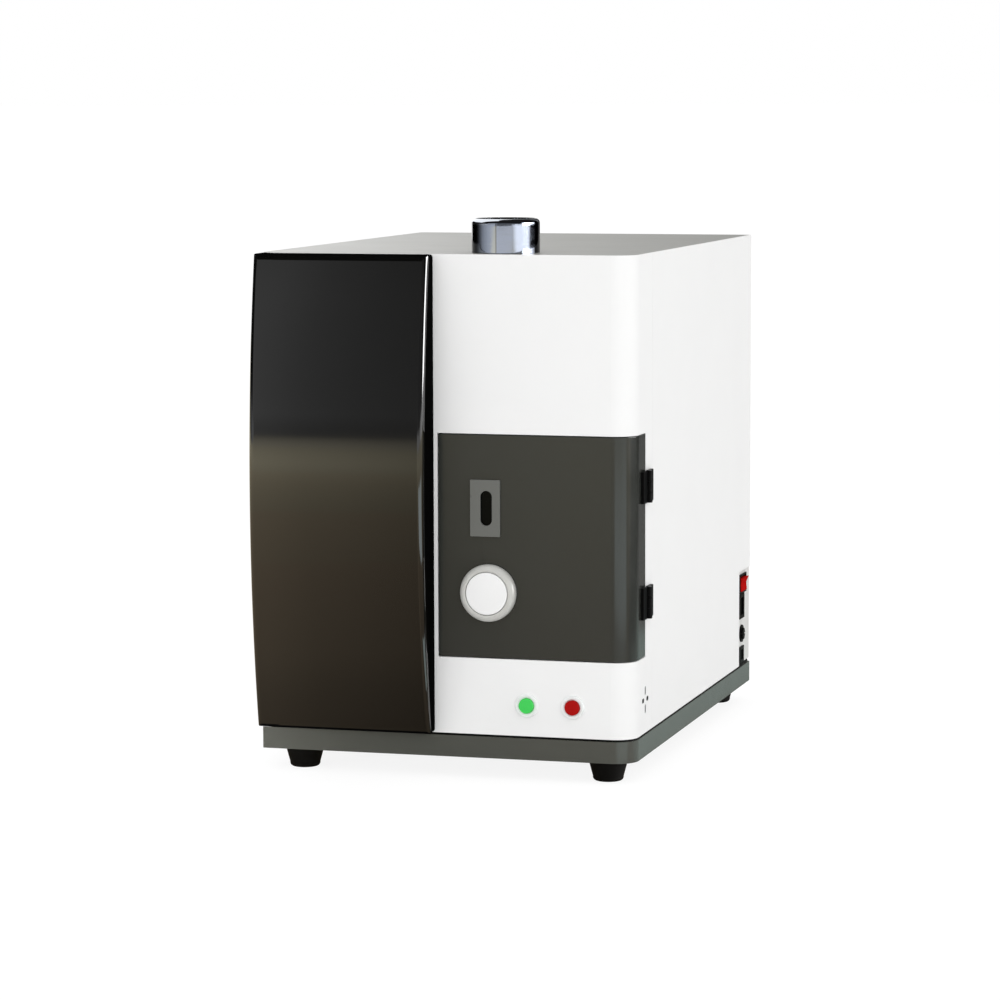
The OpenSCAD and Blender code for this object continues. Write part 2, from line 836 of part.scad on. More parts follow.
module frame_hinge_leaves() {
    y0 = hinge_y + knuckle_r + 0.5;
    color([0.05, 0.05, 0.05]) placed() for (zc = hinge_zs) difference() {
        union() {
            box(hw, hw + leaf_t, y0, y0 + leaf_l, zc - hinge_h / 2, zc + hinge_h / 2);
            knuckle(zc - hinge_h / 2, zc - hinge_h / 6 - 0.3, 1);
            knuckle(zc + hinge_h / 6 + 0.3, zc + hinge_h / 2, 1);
        }
        z_rod(hinge_x, hinge_y, zc - hinge_h, zc + hinge_h, pin_d / 2 + 0.02);
    }
}

module door_hinge_leaves() {
    y1 = hinge_y - knuckle_r - 0.5;
    color([0.05, 0.05, 0.05]) placed() for (zc = hinge_zs) difference() {
        union() {
            box(hw, hw + leaf_t, y1 - door_leaf_l, y1, zc - hinge_h / 2, zc + hinge_h / 2);
            knuckle(zc - hinge_h / 6, zc + hinge_h / 6, -1);
        }
        z_rod(hinge_x, hinge_y, zc - hinge_h, zc + hinge_h, pin_d / 2 + run_fit);
    }
}

module hinge_pins() {
    color([0.6, 0.61, 0.62]) placed() for (zc = hinge_zs) {
        z_rod(hinge_x, hinge_y, zc - hinge_h / 2, zc + hinge_h / 2, pin_d / 2);
        z_rod(hinge_x, hinge_y, zc + hinge_h / 2, zc + hinge_h / 2 + 1, knuckle_r - 1);
    }
}

// Buttons and sounder

module button_bodies() {
    y0 = front_y + sheet_t;
    color([0.85, 0.86, 0.86]) placed() for (x = [start_x, stop_x]) difference() {
        union() {
            y_rod(x, button_cz, front_y - bezel_h, front_y, bezel_d / 2);
            y_rod(x, button_cz, front_y - 1, y0 + 18, barrel_d / 2);
            y_rod(x, button_cz, y0, y0 + 5, barrel_d / 2 + 3.5);
            box(x - 13, x + 13, y0 + 17, y0 + 50, button_cz - 13, button_cz + 13);
        }
        y_rod(x, button_cz, front_y - bezel_h - 1, y0 + 14, lens_d / 2 + run_fit);
    }
}

module plunger(x) {
    y_rod(x, button_cz, front_y - bezel_h - lens_out, front_y + sheet_t + 14 - press_l - 1, lens_d / 2);
}

module start_button() {
    color([0.27, 0.8, 0.36]) placed() plunger(start_x);
}

module stop_button() {
    color([0.62, 0.06, 0.05]) placed() plunger(stop_x);
}

module sounder() {
    x1 = hw - sheet_t;
    color([0.08, 0.08, 0.08]) placed() {
        difference() {
            x_rod(grille_y, grille_z, x1 - 18, x1, grille_d / 2 + 3);
            x_rod(grille_y, grille_z, x1 - 4, x1 + 1, grille_d / 2 + 1);
        }
        at_grille() grille_slot(grille_w - 0.6, x1 - 5, hw - 0.6);
    }
}

// Exhaust

// Tube with a turned-in rim, whose shoulder sits on the top and whose neck goes down to the fan
module exhaust_stack() {
    r = stack_d / 2;
    color([0.75, 0.76, 0.78]) placed() translate([stack_cx, stack_cy, 0]) rotate_extrude() {
        area(r - stack_t, r, cab_z1, stack_z1 - rim_r);
        area(r - stack_t, neck_r, fan_z1, cab_z1 + 1);
        translate([r - rim_r, stack_z1 - rim_r]) intersection() {
            difference() {
                circle(r = rim_r);
                circle(r = rim_r - stack_t);
            }
            area(0, rim_r, 0, rim_r);
        }
    }
}

// Square axial fan housing with four struts and a hub stub, from z = 0 to t
module fan_frame(w, t) {
    difference() {
        translate([-w / 2, -w / 2, 0]) cube([w, w, t]);
        translate([0, 0, -1]) cylinder(r = w * 0.475, h = t + 2);
        for (a = [45:90:315]) rotate([0, 0, a]) translate([w * 0.62, 0, -1]) cylinder(r = 2.2, h = t + 2);
    }
    for (a = [0:90:270]) rotate([0, 0, a]) translate([w * 0.15, -1.5, 0]) cube([w * 0.34, 3, 3]);
    cylinder(r = w * 0.2, h = 3);
    cylinder(r = 3, h = t - 7);
}

// Hub and blades that run on the stub
module fan_rotor(w, t) {
    difference() {
        translate([0, 0, 4]) cylinder(r = w * 0.2, h = t - 5);
        translate([0, 0, 3]) cylinder(r = 3 + run_fit, h = t - 9);
    }
    for (i = [0:6]) rotate([0, 0, i * 360 / 7])
        translate([w * 0.19, 0, t / 2 + 1.5]) rotate([38, 0, 0]) translate([0, -0.8, -8]) cube([w * 0.26, 1.6, 16]);
}

module at_stack_fan() {
    translate([stack_cx, stack_cy, fan_z0]) children();
}

module exhaust_fan_frame() {
    color([0.08, 0.08, 0.08]) placed() at_stack_fan() fan_frame(fan_w, fan_t);
}

module exhaust_fan_rotor() {
    color([0.12, 0.12, 0.12]) placed() at_stack_fan() fan_rotor(fan_w, fan_t);
}

module exhaust_duct() {
    r = duct_d / 2;
    z0 = mouth_z1 + sheet_t;
    color([0.78, 0.79, 0.8]) placed() difference() {
        union() {
            z_rod(stack_cx, stack_cy, z0, fan_z0, r + sheet_t);
            z_rod(stack_cx, stack_cy, z0, z0 + sheet_t, r + 7);
            translate([stack_cx, stack_cy, fan_z0 - sheet_t])
                translate([-fan_w / 2, -fan_w / 2, 0]) cube([fan_w, fan_w, sheet_t]);
        }
        z_rod(stack_cx, stack_cy, z0 - 1, fan_z0 + 1, r);
    }
}

// Spark chamber

module chamber_liner() {
    color([0.78, 0.79, 0.8]) placed() difference() {
        union() {
            difference() {
                box(mouth_x0 - sheet_t, mouth_x1 + sheet_t, chamber_y0, chamber_y1,
                    mouth_z0 - sheet_t, mouth_z1 + sheet_t);
                box(mouth_x0, mouth_x1, chamber_y0 - 1, chamber_y1 - sheet_t, mouth_z0, mouth_z1);
            }
            z_rod(el_x, el_y, mouth_z0 - sheet_t - collar_l, mouth_z0 - 1, column_d / 2 + 5);
        }
        z_rod(stack_cx, stack_cy, mouth_z1 - 1, mouth_z1 + sheet_t + 1, duct_d / 2);
        x_rod(el_y, axis_z, mouth_x0 - sheet_t - 1, mouth_x0 + 1, tube_d / 2);
        y_rod(el_x, el_z, chamber_y1 - sheet_t - 1, chamber_y1 + 1, shaft_d / 2 + 1);
        z_rod(el_x, el_y, mouth_z0 - sheet_t - collar_l - 1, mouth_z0 + 1, column_d / 2 + run_fit);
    }
}

module electrode_stand() {
    y1 = chamber_y1 - sheet_t;
    color([0.92, 0.91, 0.86]) placed() difference() {
        box(el_x - stand_half, el_x + stand_half, stand_y, y1, el_z - stand_drop, clamp_z + stand_over);
        y_rod(el_x, el_z, stand_y - 1, y1 + 1, shaft_d / 2 + run_fit);
    }
}

module disc_shaft() {
    y0 = el_y + disc_t / 2 + slack;
    color([0.7, 0.71, 0.73]) placed() {
        y_rod(el_x, el_z, el_y + 20, chamber_y1 + 26, shaft_d / 2);
        y_rod(el_x, el_z, y0, el_y + 21, 2.5);
        y_rod(el_x, el_z, el_y - disc_t / 2 - 1, y0 + 1, 2);
    }
}

module disc_electrode() {
    color([0.13, 0.13, 0.14]) placed() difference() {
        y_rod(el_x, el_z, el_y - disc_t / 2, el_y + disc_t / 2, disc_d / 2);
        y_rod(el_x, el_z, el_y - disc_t, el_y + disc_t, 2.02);
    }
}

module drive_motor() {
    color([0.2, 0.2, 0.21]) placed() difference() {
        union() {
            y_rod(el_x, el_z, chamber_y1, chamber_y1 + 62, 20);
            box(el_x - 24, el_x + 24, chamber_y1, chamber_y1 + 4, el_z - 24, el_z + 24);
        }
        y_rod(el_x, el_z, chamber_y1 - 1, chamber_y1 + 28, shaft_d / 2 + run_fit);
    }
}

module rod_clamp() {
    color([0.78, 0.62, 0.28]) placed() difference() {
        box(el_x - 7, el_x + 7, el_y - 11, stand_y, clamp_z - 7, clamp_z + 7);
        z_rod(el_x, el_y, clamp_z - 8, clamp_z + 8, rod_d / 2 + 0.03);
        y_rod(el_x, clamp_z, el_y - 12, el_y - 1, 2 + run_fit);
    }
}

module rod_electrode() {
    z0 = el_z + disc_d / 2 + spark_gap;
    color([0.13, 0.13, 0.14]) placed() translate([el_x, el_y, z0]) {
        cylinder(r1 = rod_d / 2 - 1, r2 = rod_d / 2, h = 2);
        translate([0, 0, 2]) cylinder(r = rod_d / 2, h = rod_l - 2);
    }
}

module clamp_screw() {
    color([0.75, 0.76, 0.78]) placed() {
        y_rod(el_x, clamp_z, el_y - 13, el_y - rod_d / 2 - 0.3, 2);
        difference() {
            y_rod(el_x, clamp_z, el_y - 20, el_y - 12, 7);
            for (a = [0:30:330]) translate([el_x, 0, clamp_z]) rotate([0, a, 0]) y_rod(7.2, 0, el_y - 21, el_y - 11, 0.9);
        }
    }
}

module sample_table() {
    color([0.74, 0.75, 0.77]) placed() {
        box(el_x - table_half, el_x + table_half, el_y - table_deep, el_y + table_deep, table_z, table_z + 4);
        z_rod(el_x, el_y, mouth_z0 - sheet_t - collar_l - 10, table_z + 1, column_d / 2);
        y_rod(el_x, table_z + 2, el_y - pull_l + 2, el_y - table_deep + 1, 1.8);
        translate([el_x, el_y - pull_l, table_z + 2]) sphere(r = 7);
    }
}

module oil_cup() {
    color([0.9, 0.9, 0.88]) placed() translate([el_x, el_y, table_z + 4]) difference() {
        cylinder(r = cup_d / 2, h = cup_h);
        translate([0, 0, 3]) cylinder(r = cup_d / 2 - 1.5, h = cup_h);
    }
}

// Optics

module light_tube() {
    x1 = mouth_x0 - sheet_t;
    color([0.2, 0.2, 0.21]) placed() difference() {
        union() {
            x_rod(el_y, axis_z, optics_x1, x1, tube_d / 2 + 3);
            x_rod(el_y, axis_z, x1 - 4, x1, tube_d / 2 + 9);
        }
        x_rod(el_y, axis_z, optics_x1 - 1, x1 + 1, tube_d / 2);
    }
}

module lens() {
    x1 = mouth_x0 - sheet_t;
    color([0.8, 0.88, 0.92, 0.5]) placed() x_rod(el_y, axis_z, x1 - 6, x1 - 1, tube_d / 2 - 0.05);
}

module optics_housing() {
    y1 = optics_y0 + optics_d;
    w = optics_wall;
    color([0.62, 0.63, 0.64]) placed() {
        difference() {
            box(optics_x0, optics_x1, optics_y0, y1, optics_z0, optics_z1);
            box(optics_x0 + w, optics_x1 - w, optics_y0 + w, y1 - w, optics_z0 + w, optics_z1 + 1);
            x_rod(el_y, axis_z, optics_x1 - w - 1, optics_x1 + 1, 6);
        }
        for (x = [optics_x0 + 25, optics_x1 - 25]) for (y = [optics_y0 + 30, y1 - 30])
            z_rod(x, y, floor_z, optics_z0 + 1, 9);
    }
}

module optics_lid() {
    color([0.55, 0.56, 0.57]) placed()
        box(optics_x0, optics_x1, optics_y0, optics_y0 + optics_d, optics_z1, optics_z1 + 6);
}

module concave_grating() {
    x0 = optics_x0 + optics_wall;
    color([0.6, 0.65, 0.7]) placed() difference() {
        x_rod(el_y, axis_z, x0, x0 + 14, 25);
        translate([x0 + 10 + 120, el_y, axis_z]) sphere(r = 120, $fn = 240);
    }
}

module detector_boards() {
    x1 = optics_x1 - optics_wall;
    color([0.1, 0.3, 0.15]) placed() for (i = [0:2]) {
        y = el_y + detector_pitch * (i + 1);
        box(x1 - 6, x1, y, y + detector_w, axis_z - detector_h / 2, axis_z + detector_h / 2);
        box(x1 - 9, x1 - 5, y + 8, y + detector_w - 8, axis_z - detector_h * 0.1, axis_z + detector_h * 0.1);
    }
}

// Electronics

module power_supply() {
    x0 = wall_x + supply_left;
    x1 = hw - supply_right;
    z1 = floor_z + supply_h;
    step = (x1 - x0) / 10;
    color([0.7, 0.71, 0.72]) placed() difference() {
        box(x0, x1, supply_y0, supply_y1, floor_z, z1);
        for (i = [1:8]) box(x0 + i * step, x0 + i * step + 5, supply_y0 + 20, supply_y1 - 20, z1 - 3, z1 + 1);
    }
}

module control_board() {
    y0 = el_y + board_in;
    y1 = y0 + board_l;
    z0 = axis_z - board_drop;
    z1 = z0 + board_h;
    chip = board_l / 7;
    color([0.08, 0.3, 0.16]) placed() {
        box(wall_x + 8, wall_x + 9.6, y0, y1, z0, z1);
        for (y = [y0 + 8, y1 - 8]) for (z = [z0 + 8, z1 - 8]) x_rod(y, z, wall_x, wall_x + 9, 3);
        for (i = [0:3]) translate([0, y0 + chip * (0.8 + 1.4 * i), z0 + board_h / 4]) box(wall_x + 9, wall_x + 12, 0, chip, 0, chip);
        box(wall_x + 9, wall_x + 19, y0 + chip, y1 - chip, z1 - 30, z1 - 20);
    }
}

module spark_source() {
    x0 = wall_x + 35;
    x1 = hw - 32;
    z1 = floor_z + source_h;
    color([0.68, 0.69, 0.7]) placed() {
        box(x0, x1, source_y0, source_y1, floor_z, z1);
        for (x = [x0 + 60, x1 - 60]) z_rod(x, source_y0 + 40, z1 - 1, z1 + 25, 12);
    }
}

module at_cool_fan() {
    translate([cool_x, rear_y - sheet_t, cool_z]) rotate([90, 0, 0]) children();
}

module cooling_fan_frame() {
    color([0.08, 0.08, 0.08]) placed() at_cool_fan() fan_frame(cool_w, fan_t);
}

module cooling_fan_rotor() {
    color([0.12, 0.12, 0.12]) placed() at_cool_fan() fan_rotor(cool_w, fan_t);
}

module fan_guard() {
    r = rear_out / 2;
    reach = cool_w * 0.44;
    color([0.7, 0.71, 0.73]) placed() translate([cool_x, rear_y + r, cool_z]) rotate([90, 0, 0]) {
        for (i = [1:4]) rotate_extrude() area(cool_w * 0.12 * i - r, cool_w * 0.12 * i + r, -r, r);
        for (a = [45, 135]) rotate([0, 0, a]) translate([-reach * 1.414, 0, 0]) rotate([0, 90, 0])
            cylinder(r = r * 0.8, h = reach * 2.828);
        for (x = [-reach, reach]) for (y = [-reach, reach]) translate([x, y, -r]) cylinder(r = 5, h = 2 * r);
    }
}

// Power panel

module io_panel() {
    x0 = io_x - sheet_t;
    z0 = cab_z0 + sheet_t;
    z1 = cab_z0 + io_h - 0.3;
    y0 = rear_y - io_w;
    color([0.76, 0.77, 0.75]) placed() difference() {
        union() {
            box(x0, io_x, y0 - 10, rear_y - sheet_t, z0, z1);
            box(x0, io_x, y0 - 10, rear_y - rear_r - 2, z1 - 1, z1 + 10);
            box(hw - return_w - flange_w, io_x, rear_y - 2 * sheet_t, rear_y - sheet_t, z0, z1);
        }
        box(x0 - 1, hw, rocker_y - rocker_w / 2 - 2.4, rocker_y + rocker_w / 2 + 2.4, rocker_z - 12.4, rocker_z + 12.4);
        box(x0 - 1, hw, io_y - 11.4, io_y + 11.4, inlet_z - 15.4, inlet_z + 15.4);
        x_rod(io_y, fuse_z, x0 - 1, hw, 7.4);
        box(x0 - 1, hw, io_y - 8.4, io_y + 8.4, port_z - 9.4, port_z + 9.4);
    }
}

module switch_frame() {
    w = rocker_w / 2;
    color([0.06, 0.06, 0.06]) placed() translate([io_x, rocker_y, rocker_z]) difference() {
        union() {
            box(0, 2, -w - 4, w + 4, -13.8, 13.8);
            box(-26, 1, -w - 2, w + 2, -12, 12);
        }
        box(-12, 3, -w - 0.4, w + 0.4, -11.2, 11.2);
        translate([-rocker_set, 0, 0]) y_rod(0, 0, -w - 2.2, w + 2.2, trunnion_r + run_fit);
    }
}

module mains_rocker() {
    h = rocker_h / 2;
    color([0.75, 0.1, 0.1]) placed() translate([io_x - rocker_set, rocker_y, rocker_z])
        rotate([0, rocker_tilt, 0]) {
            rotate([90, 0, 0]) translate([0, 0, -rocker_w / 2]) linear_extrude(height = rocker_w)
                polygon([[6, -h], [3.4, 0], [6, h], [-3, h - 2], [-3, -h + 2]]);
            y_rod(0, 0, -rocker_w / 2 - 1.6, rocker_w / 2 + 1.6, trunnion_r);
        }
}

module mains_inlet() {
    color([0.05, 0.05, 0.05]) placed() translate([io_x, io_y, inlet_z]) {
        difference() {
            union() {
                box(0, 2, -15, 15, -18, 18);
                box(-24, 1, -11, 11, -15, 15);
            }
            box(-16, 3, -8.5, 8.5, -12.5, 12.5);
        }
        for (z = [-7, 0, 7]) translate([0, 2 + abs(z) * 0.3, z]) box(-17, -2, -1, 1, -2, 2);
    }
}

module fuse_holder() {
    color([0.05, 0.05, 0.05]) placed() translate([io_x, io_y, fuse_z]) difference() {
        union() {
            x_rod(0, 0, 0, 2, 12.5);
            x_rod(0, 0, 1, 4.5, 8);
            x_rod(0, 0, -36, 1, 7);
        }
        box(3, 6, -9, 9, -0.9, 0.9);
    }
}

module data_port() {
    color([0.12, 0.12, 0.13]) placed() translate([io_x, io_y, port_z]) difference() {
        union() {
            box(0, 2, -13, 13, -12, 12);
            box(-18, 1, -8, 8, -9, 9);
        }
        box(-13, 3, -6.2, 6.2, -7, 7);
    }
}

base_tray();
base_seal();
rubber_feet();
front_frame();
left_side_panel();
right_side_panel();
rear_panel();
top_panel();
bow_panel();
bulkhead();
door_surround();
door_seal();
door_skin();
door_liner();
sight_plate();
sight_glass();
latch_knob();
knob_cap();
latch_arm();
frame_hinge_leaves();
door_hinge_leaves();
hinge_pins();
button_bodies();
start_button();
stop_button();
sounder();
exhaust_stack();
exhaust_fan_frame();
exhaust_fan_rotor();
exhaust_duct();
chamber_liner();
electrode_stand();
disc_shaft();
disc_electrode();
drive_motor();
rod_clamp();
rod_electrode();
clamp_screw();
sample_table();
oil_cup();
light_tube();
lens();
optics_housing();
optics_lid();
concave_grating();
detector_boards();
power_supply();
control_board();
spark_source();
cooling_fan_frame();
cooling_fan_rotor();
fan_guard();
io_panel();
switch_frame();
mains_rocker();
mains_inlet();
fuse_holder();
data_port();
panel_screws();
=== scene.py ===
"""Looks of a bench oil emission spectrometer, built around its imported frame.

Metres, +Z up. The front faces -Y and the door's hinges are on the +X side.
"""

import math

import bmesh
import bpy
from mathutils import Matrix, Vector


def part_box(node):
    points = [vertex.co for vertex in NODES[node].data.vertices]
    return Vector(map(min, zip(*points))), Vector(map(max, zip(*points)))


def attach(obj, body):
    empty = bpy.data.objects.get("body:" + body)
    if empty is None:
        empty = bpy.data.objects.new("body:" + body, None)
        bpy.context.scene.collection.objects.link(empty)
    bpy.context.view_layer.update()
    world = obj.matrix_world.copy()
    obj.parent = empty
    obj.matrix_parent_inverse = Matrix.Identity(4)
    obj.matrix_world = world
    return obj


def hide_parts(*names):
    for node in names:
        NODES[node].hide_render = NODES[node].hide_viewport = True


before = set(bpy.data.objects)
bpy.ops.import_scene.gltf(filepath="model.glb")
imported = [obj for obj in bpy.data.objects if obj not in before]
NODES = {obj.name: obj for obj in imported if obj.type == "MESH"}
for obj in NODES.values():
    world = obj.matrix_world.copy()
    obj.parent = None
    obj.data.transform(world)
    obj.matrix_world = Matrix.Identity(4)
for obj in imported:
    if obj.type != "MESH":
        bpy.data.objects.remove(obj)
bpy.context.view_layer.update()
SCENE = bpy.context.scene

MM = 0.001
FRONT_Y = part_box("front_frame")[0].y
TOP_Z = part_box("top_panel")[1].z

# Edges that bend more than this many degrees are sharp
SHARP = 35


# Finishes

# Most of a noise pattern's values lie between these
NOISE_LOW, NOISE_HIGH = 0.3, 0.7
DRIFT_DETAIL = 3
GRAIN_DETAIL = 2
GRAIN_DEPTH = 0.1 * MM


def add_node(tree, kind, inputs=None, **settings):
    """A shader node whose inputs take plain values or another node's sockets."""
    made = tree.nodes.new(kind)
    for key, value in settings.items():
        setattr(made, key, value)
    for key, value in (inputs or {}).items():
        if isinstance(value, bpy.types.NodeSocket):
            tree.links.new(value, made.inputs[key])
        else:
            made.inputs[key].default_value = value
    return made


def shade(colour, factor):
    return tuple(min(1.0, c * factor) for c in colour) + (1.0,)


def ramp(tree, value, stops):
    """A grey ramp over 0 to 1 from (place, level) stops."""
    made = add_node(tree, "ShaderNodeValToRGB", {"Fac": value})
    points = made.color_ramp.elements
    while len(points) < len(stops):
        points.new(0.5)
    # Blender sorts the points by place, so the levels wait until every place is set
    for point, (place, _) in zip(points, stops):
        point.position = place
    for point, (_, level) in zip(points, stops):
        point.color = (level, level, level, 1)
    return made.outputs["Color"]


def surface(name, colour, rough, metal=0.0, vary=0.04, rough_vary=0.05, cloud=14.0, grain=700.0,
            bump=0.05, stretch=(1, 1, 1), painted_dark_edges=None, **sockets):
    """A finish whose colour and gloss drift slowly and whose fine grain stands up from the surface.

    Edge stops, where given, darken the colour where the surface turns away from the eye: painted dark reflections
    along its edges.
    """
    material = bpy.data.materials.new(name)
    material.use_nodes = True
    tree = material.node_tree
    shader = tree.nodes["Principled BSDF"]
    place = add_node(tree, "ShaderNodeTexCoord").outputs["Object"]
    place = add_node(tree, "ShaderNodeMapping", {"Vector": place, "Scale": stretch}).outputs["Vector"]
    drift, fine = (
        add_node(tree, "ShaderNodeTexNoise", {"Vector": place, "Scale": scale, "Detail": detail}).outputs["Fac"]
        for scale, detail in ((cloud, DRIFT_DETAIL), (grain, GRAIN_DETAIL)))
    tint = add_node(tree, "ShaderNodeMix", data_type="RGBA")
    tree.links.new(drift, tint.inputs["Factor"])
    tint.inputs["A"].default_value = shade(colour, 1 - vary)
    tint.inputs["B"].default_value = shade(colour, 1 + vary)
    tint = tint.outputs["Result"]
    # Painted shade: the colour darkens at grazing angles to stand in for dark reflections at the edges
    if painted_dark_edges:
        facing = add_node(tree, "ShaderNodeLayerWeight", {"Blend": 0.5}).outputs["Facing"]
        tint = add_node(tree, "ShaderNodeVectorMath", {0: tint, 1: ramp(tree, facing, painted_dark_edges)},
                        operation="MULTIPLY").outputs[0]
    tree.links.new(tint, shader.inputs["Base Color"])
    gloss = add_node(tree, "ShaderNodeMapRange", {
        "Value": drift, "From Min": NOISE_LOW, "From Max": NOISE_HIGH,
        "To Min": max(0.0, rough - rough_vary), "To Max": rough + rough_vary})
    tree.links.new(gloss.outputs["Result"], shader.inputs["Roughness"])
    lift = add_node(tree, "ShaderNodeBump", {"Height": fine, "Strength": bump, "Distance": GRAIN_DEPTH})
    tree.links.new(lift.outputs["Normal"], shader.inputs["Normal"])
    shader.inputs["Metallic"].default_value = metal
    for key, value in sockets.items():
        shader.inputs[key.replace("_", " ")].default_value = value
    return material


# Painted sheet metal
WHITE = surface("white_powder_coat", (0.9, 0.9, 0.895), 0.5, vary=0.012, bump=0.06, Specular_IOR_Level=0.0)
# The top is coloured a mid grey, well darker than the white shell
TOP_GREY = surface("top_powder_coat", (0.425, 0.425, 0.395), 0.3, vary=0.015, rough_vary=0.02, bump=0.02)
BASE_GREY = surface("base_textured_coat", (0.08, 0.083, 0.072), 0.22, vary=0.06, rough_vary=0.03, grain=1100,
                    bump=0.06)
DOOR_GREY = surface("door_textured_coat", (0.0335, 0.0355, 0.0315), 0.16, vary=0.06, rough_vary=0.03, grain=1100,
                    bump=0.06)
PLATE_GREY = surface("plate_satin_coat", (0.145, 0.15, 0.14), 0.3, vary=0.05, grain=900, bump=0.06)
PANEL_GREY = surface("power_panel_coat", (0.77, 0.77, 0.755), 0.45, vary=0.03, bump=0.06)
MODULE = surface("module_case", (0.44, 0.45, 0.46), 0.45, vary=0.05)

# Plastics, rubber and glass
BLACK_GLOSS = surface("black_polished_panel", (0.002, 0.002, 0.0018), 0.05, vary=0.2, rough_vary=0.015,
                      cloud=4.0, grain=60, bump=0.01, IOR=1.9)
BLACK_MATT = surface("black_panel_sides", (0.0025, 0.0025, 0.0025), 0.6, vary=0.2, grain=900, bump=0.1,
                     Specular_IOR_Level=0.0)
RUBBER = surface("black_rubber", (0.004, 0.004, 0.0036), 0.7, vary=0.2, grain=1500, bump=0.2,
                 Specular_IOR_Level=0.15)
BLACK_PLASTIC = surface("black_moulded_plastic", (0.003, 0.003, 0.0032), 0.45, vary=0.15, grain=1600, bump=0.15,
                        Specular_IOR_Level=0.06)
WHITE_PLASTIC = surface("knob_white_face", (0.9, 0.9, 0.895), 0.3, vary=0.012, grain=500, bump=0.02,
                        Specular_IOR_Level=0.2)
GREEN = surface("green_lens", (0.06, 0.66, 0.11), 0.22, vary=0.06, cloud=120, grain=400, bump=0.01,
                Specular_IOR_Level=0.25)
RED = surface("red_lens", (0.4, 0.003, 0.0025), 0.22, vary=0.08, cloud=120, grain=400, bump=0.01,
              Specular_IOR_Level=0.15)
ROCKER_RED = surface("red_rocker", (0.46, 0.009, 0.008), 0.4, vary=0.05, grain=500, bump=0.02,
                     Specular_IOR_Level=0.0)
FILTER = surface("dark_filter_glass", (0.003, 0.0035, 0.003), 0.05, vary=0.2, rough_vary=0.02, bump=0.005,
                 Specular_IOR_Level=0.1)
GLASS = surface("clear_glass", (0.9, 0.95, 0.96), 0.03, vary=0.01, rough_vary=0.01, bump=0.003,
                Transmission_Weight=1.0)
INSULATOR = surface("insulating_plastic", (0.78, 0.77, 0.71), 0.5, vary=0.03, grain=900, bump=0.06)
BOARD = surface("green_circuit_board", (0.02, 0.13, 0.045), 0.35, vary=0.15, cloud=200, grain=900, bump=0.1)

# Metals and graphite
KNOB_METAL = surface("knob_satin_metal", (0.6, 0.6, 0.57), 0.34, metal=0.06, vary=0.04, grain=900, bump=0.04)
BEZEL = surface("bezel_bright_satin", (0.9, 0.92, 0.915), 0.3, metal=0.05, vary=0.02, grain=900, bump=0.02)
# The stack's colour darkens towards its outline: painted dark reflections at the tube's edges
POLISHED = surface("polished_stack_steel", (0.52, 0.57, 0.68), 0.06, metal=1.0, vary=0.04, rough_vary=0.02,
                   cloud=30, grain=900, bump=0.02, stretch=(1, 1, 12),
                   painted_dark_edges=[(0.0, 1.0), (0.22, 1.0), (0.27, 0.88), (0.335, 0.5), (0.41, 0.2), (0.5, 0.05),
                              (1.0, 0.01)])
POLISHED_RIM = surface("polished_rim_steel", (0.6, 0.63, 0.68), 0.08, metal=1.0, vary=0.04, rough_vary=0.02,
                       cloud=30, grain=900, bump=0.02)
STEEL = surface("brushed_steel", (0.6, 0.605, 0.61), 0.3, metal=1.0, vary=0.06, cloud=60, grain=800, bump=0.04,
                stretch=(0.15, 1, 1))
ZINC = surface("galvanised_sheet", (0.5, 0.52, 0.53), 0.42, metal=0.9, vary=0.14, cloud=70, bump=0.03)
BRASS = surface("brass", (0.62, 0.42, 0.15), 0.3, metal=1.0, vary=0.08, cloud=90, grain=900, bump=0.05)
CAST = surface("cast_aluminium", (0.5, 0.51, 0.52), 0.5, metal=0.9, vary=0.08, cloud=50, grain=500, bump=0.25)
MIRROR = surface("ruled_mirror", (0.72, 0.77, 0.8), 0.06, metal=1.0, vary=0.04, grain=3000, stretch=(1, 1, 0.02))
MOTOR = surface("motor_black", (0.03, 0.03, 0.032), 0.4, vary=0.1)
GRAPHITE = surface("graphite", (0.022, 0.022, 0.024), 0.55, vary=0.2, cloud=160, grain=1500, bump=0.2)

NODE_LOOKS = {
    WHITE: "front_frame left_side_panel right_side_panel rear_panel door_surround",
    TOP_GREY: "top_panel",
    BASE_GREY: "base_tray",
    DOOR_GREY: "door_skin",
    PLATE_GREY: "sight_plate",
    PANEL_GREY: "io_panel",
    MODULE: "power_supply spark_source",
    BLACK_GLOSS: "bow_panel",
    RUBBER: "rubber_feet base_seal door_seal",
    BLACK_PLASTIC: "frame_hinge_leaves door_hinge_leaves sounder exhaust_fan_frame exhaust_fan_rotor "
                   "cooling_fan_frame cooling_fan_rotor switch_frame mains_inlet fuse_holder data_port light_tube",
    WHITE_PLASTIC: "knob_cap",
    GREEN: "start_button",
    RED: "stop_button",
    ROCKER_RED: "mains_rocker",
    FILTER: "sight_glass",
    GLASS: "lens",
    INSULATOR: "electrode_stand oil_cup",
    BOARD: "control_board detector_boards",
    KNOB_METAL: "latch_knob",
    BEZEL: "button_bodies",
    POLISHED: "exhaust_stack",
    STEEL: "door_liner latch_arm chamber_liner disc_shaft clamp_screw sample_table panel_screws "
           "fan_guard exhaust_duct",
    ZINC: "bulkhead",
    BRASS: "rod_clamp",
    CAST: "optics_housing optics_lid",
    MIRROR: "concave_grating",
    MOTOR: "drive_motor hinge_pins",
    GRAPHITE: "disc_electrode rod_electrode",
}

# Edge rounding of the frame's own solids, in millimetres
NODE_EDGES = {
    0.4: "switch_frame mains_inlet data_port fuse_holder mains_rocker electrode_stand rod_clamp sample_table "
         "latch_arm",
    0.8: "door_skin",
    1.0: "base_tray",
}
WELD_GAP = 0.01 * MM


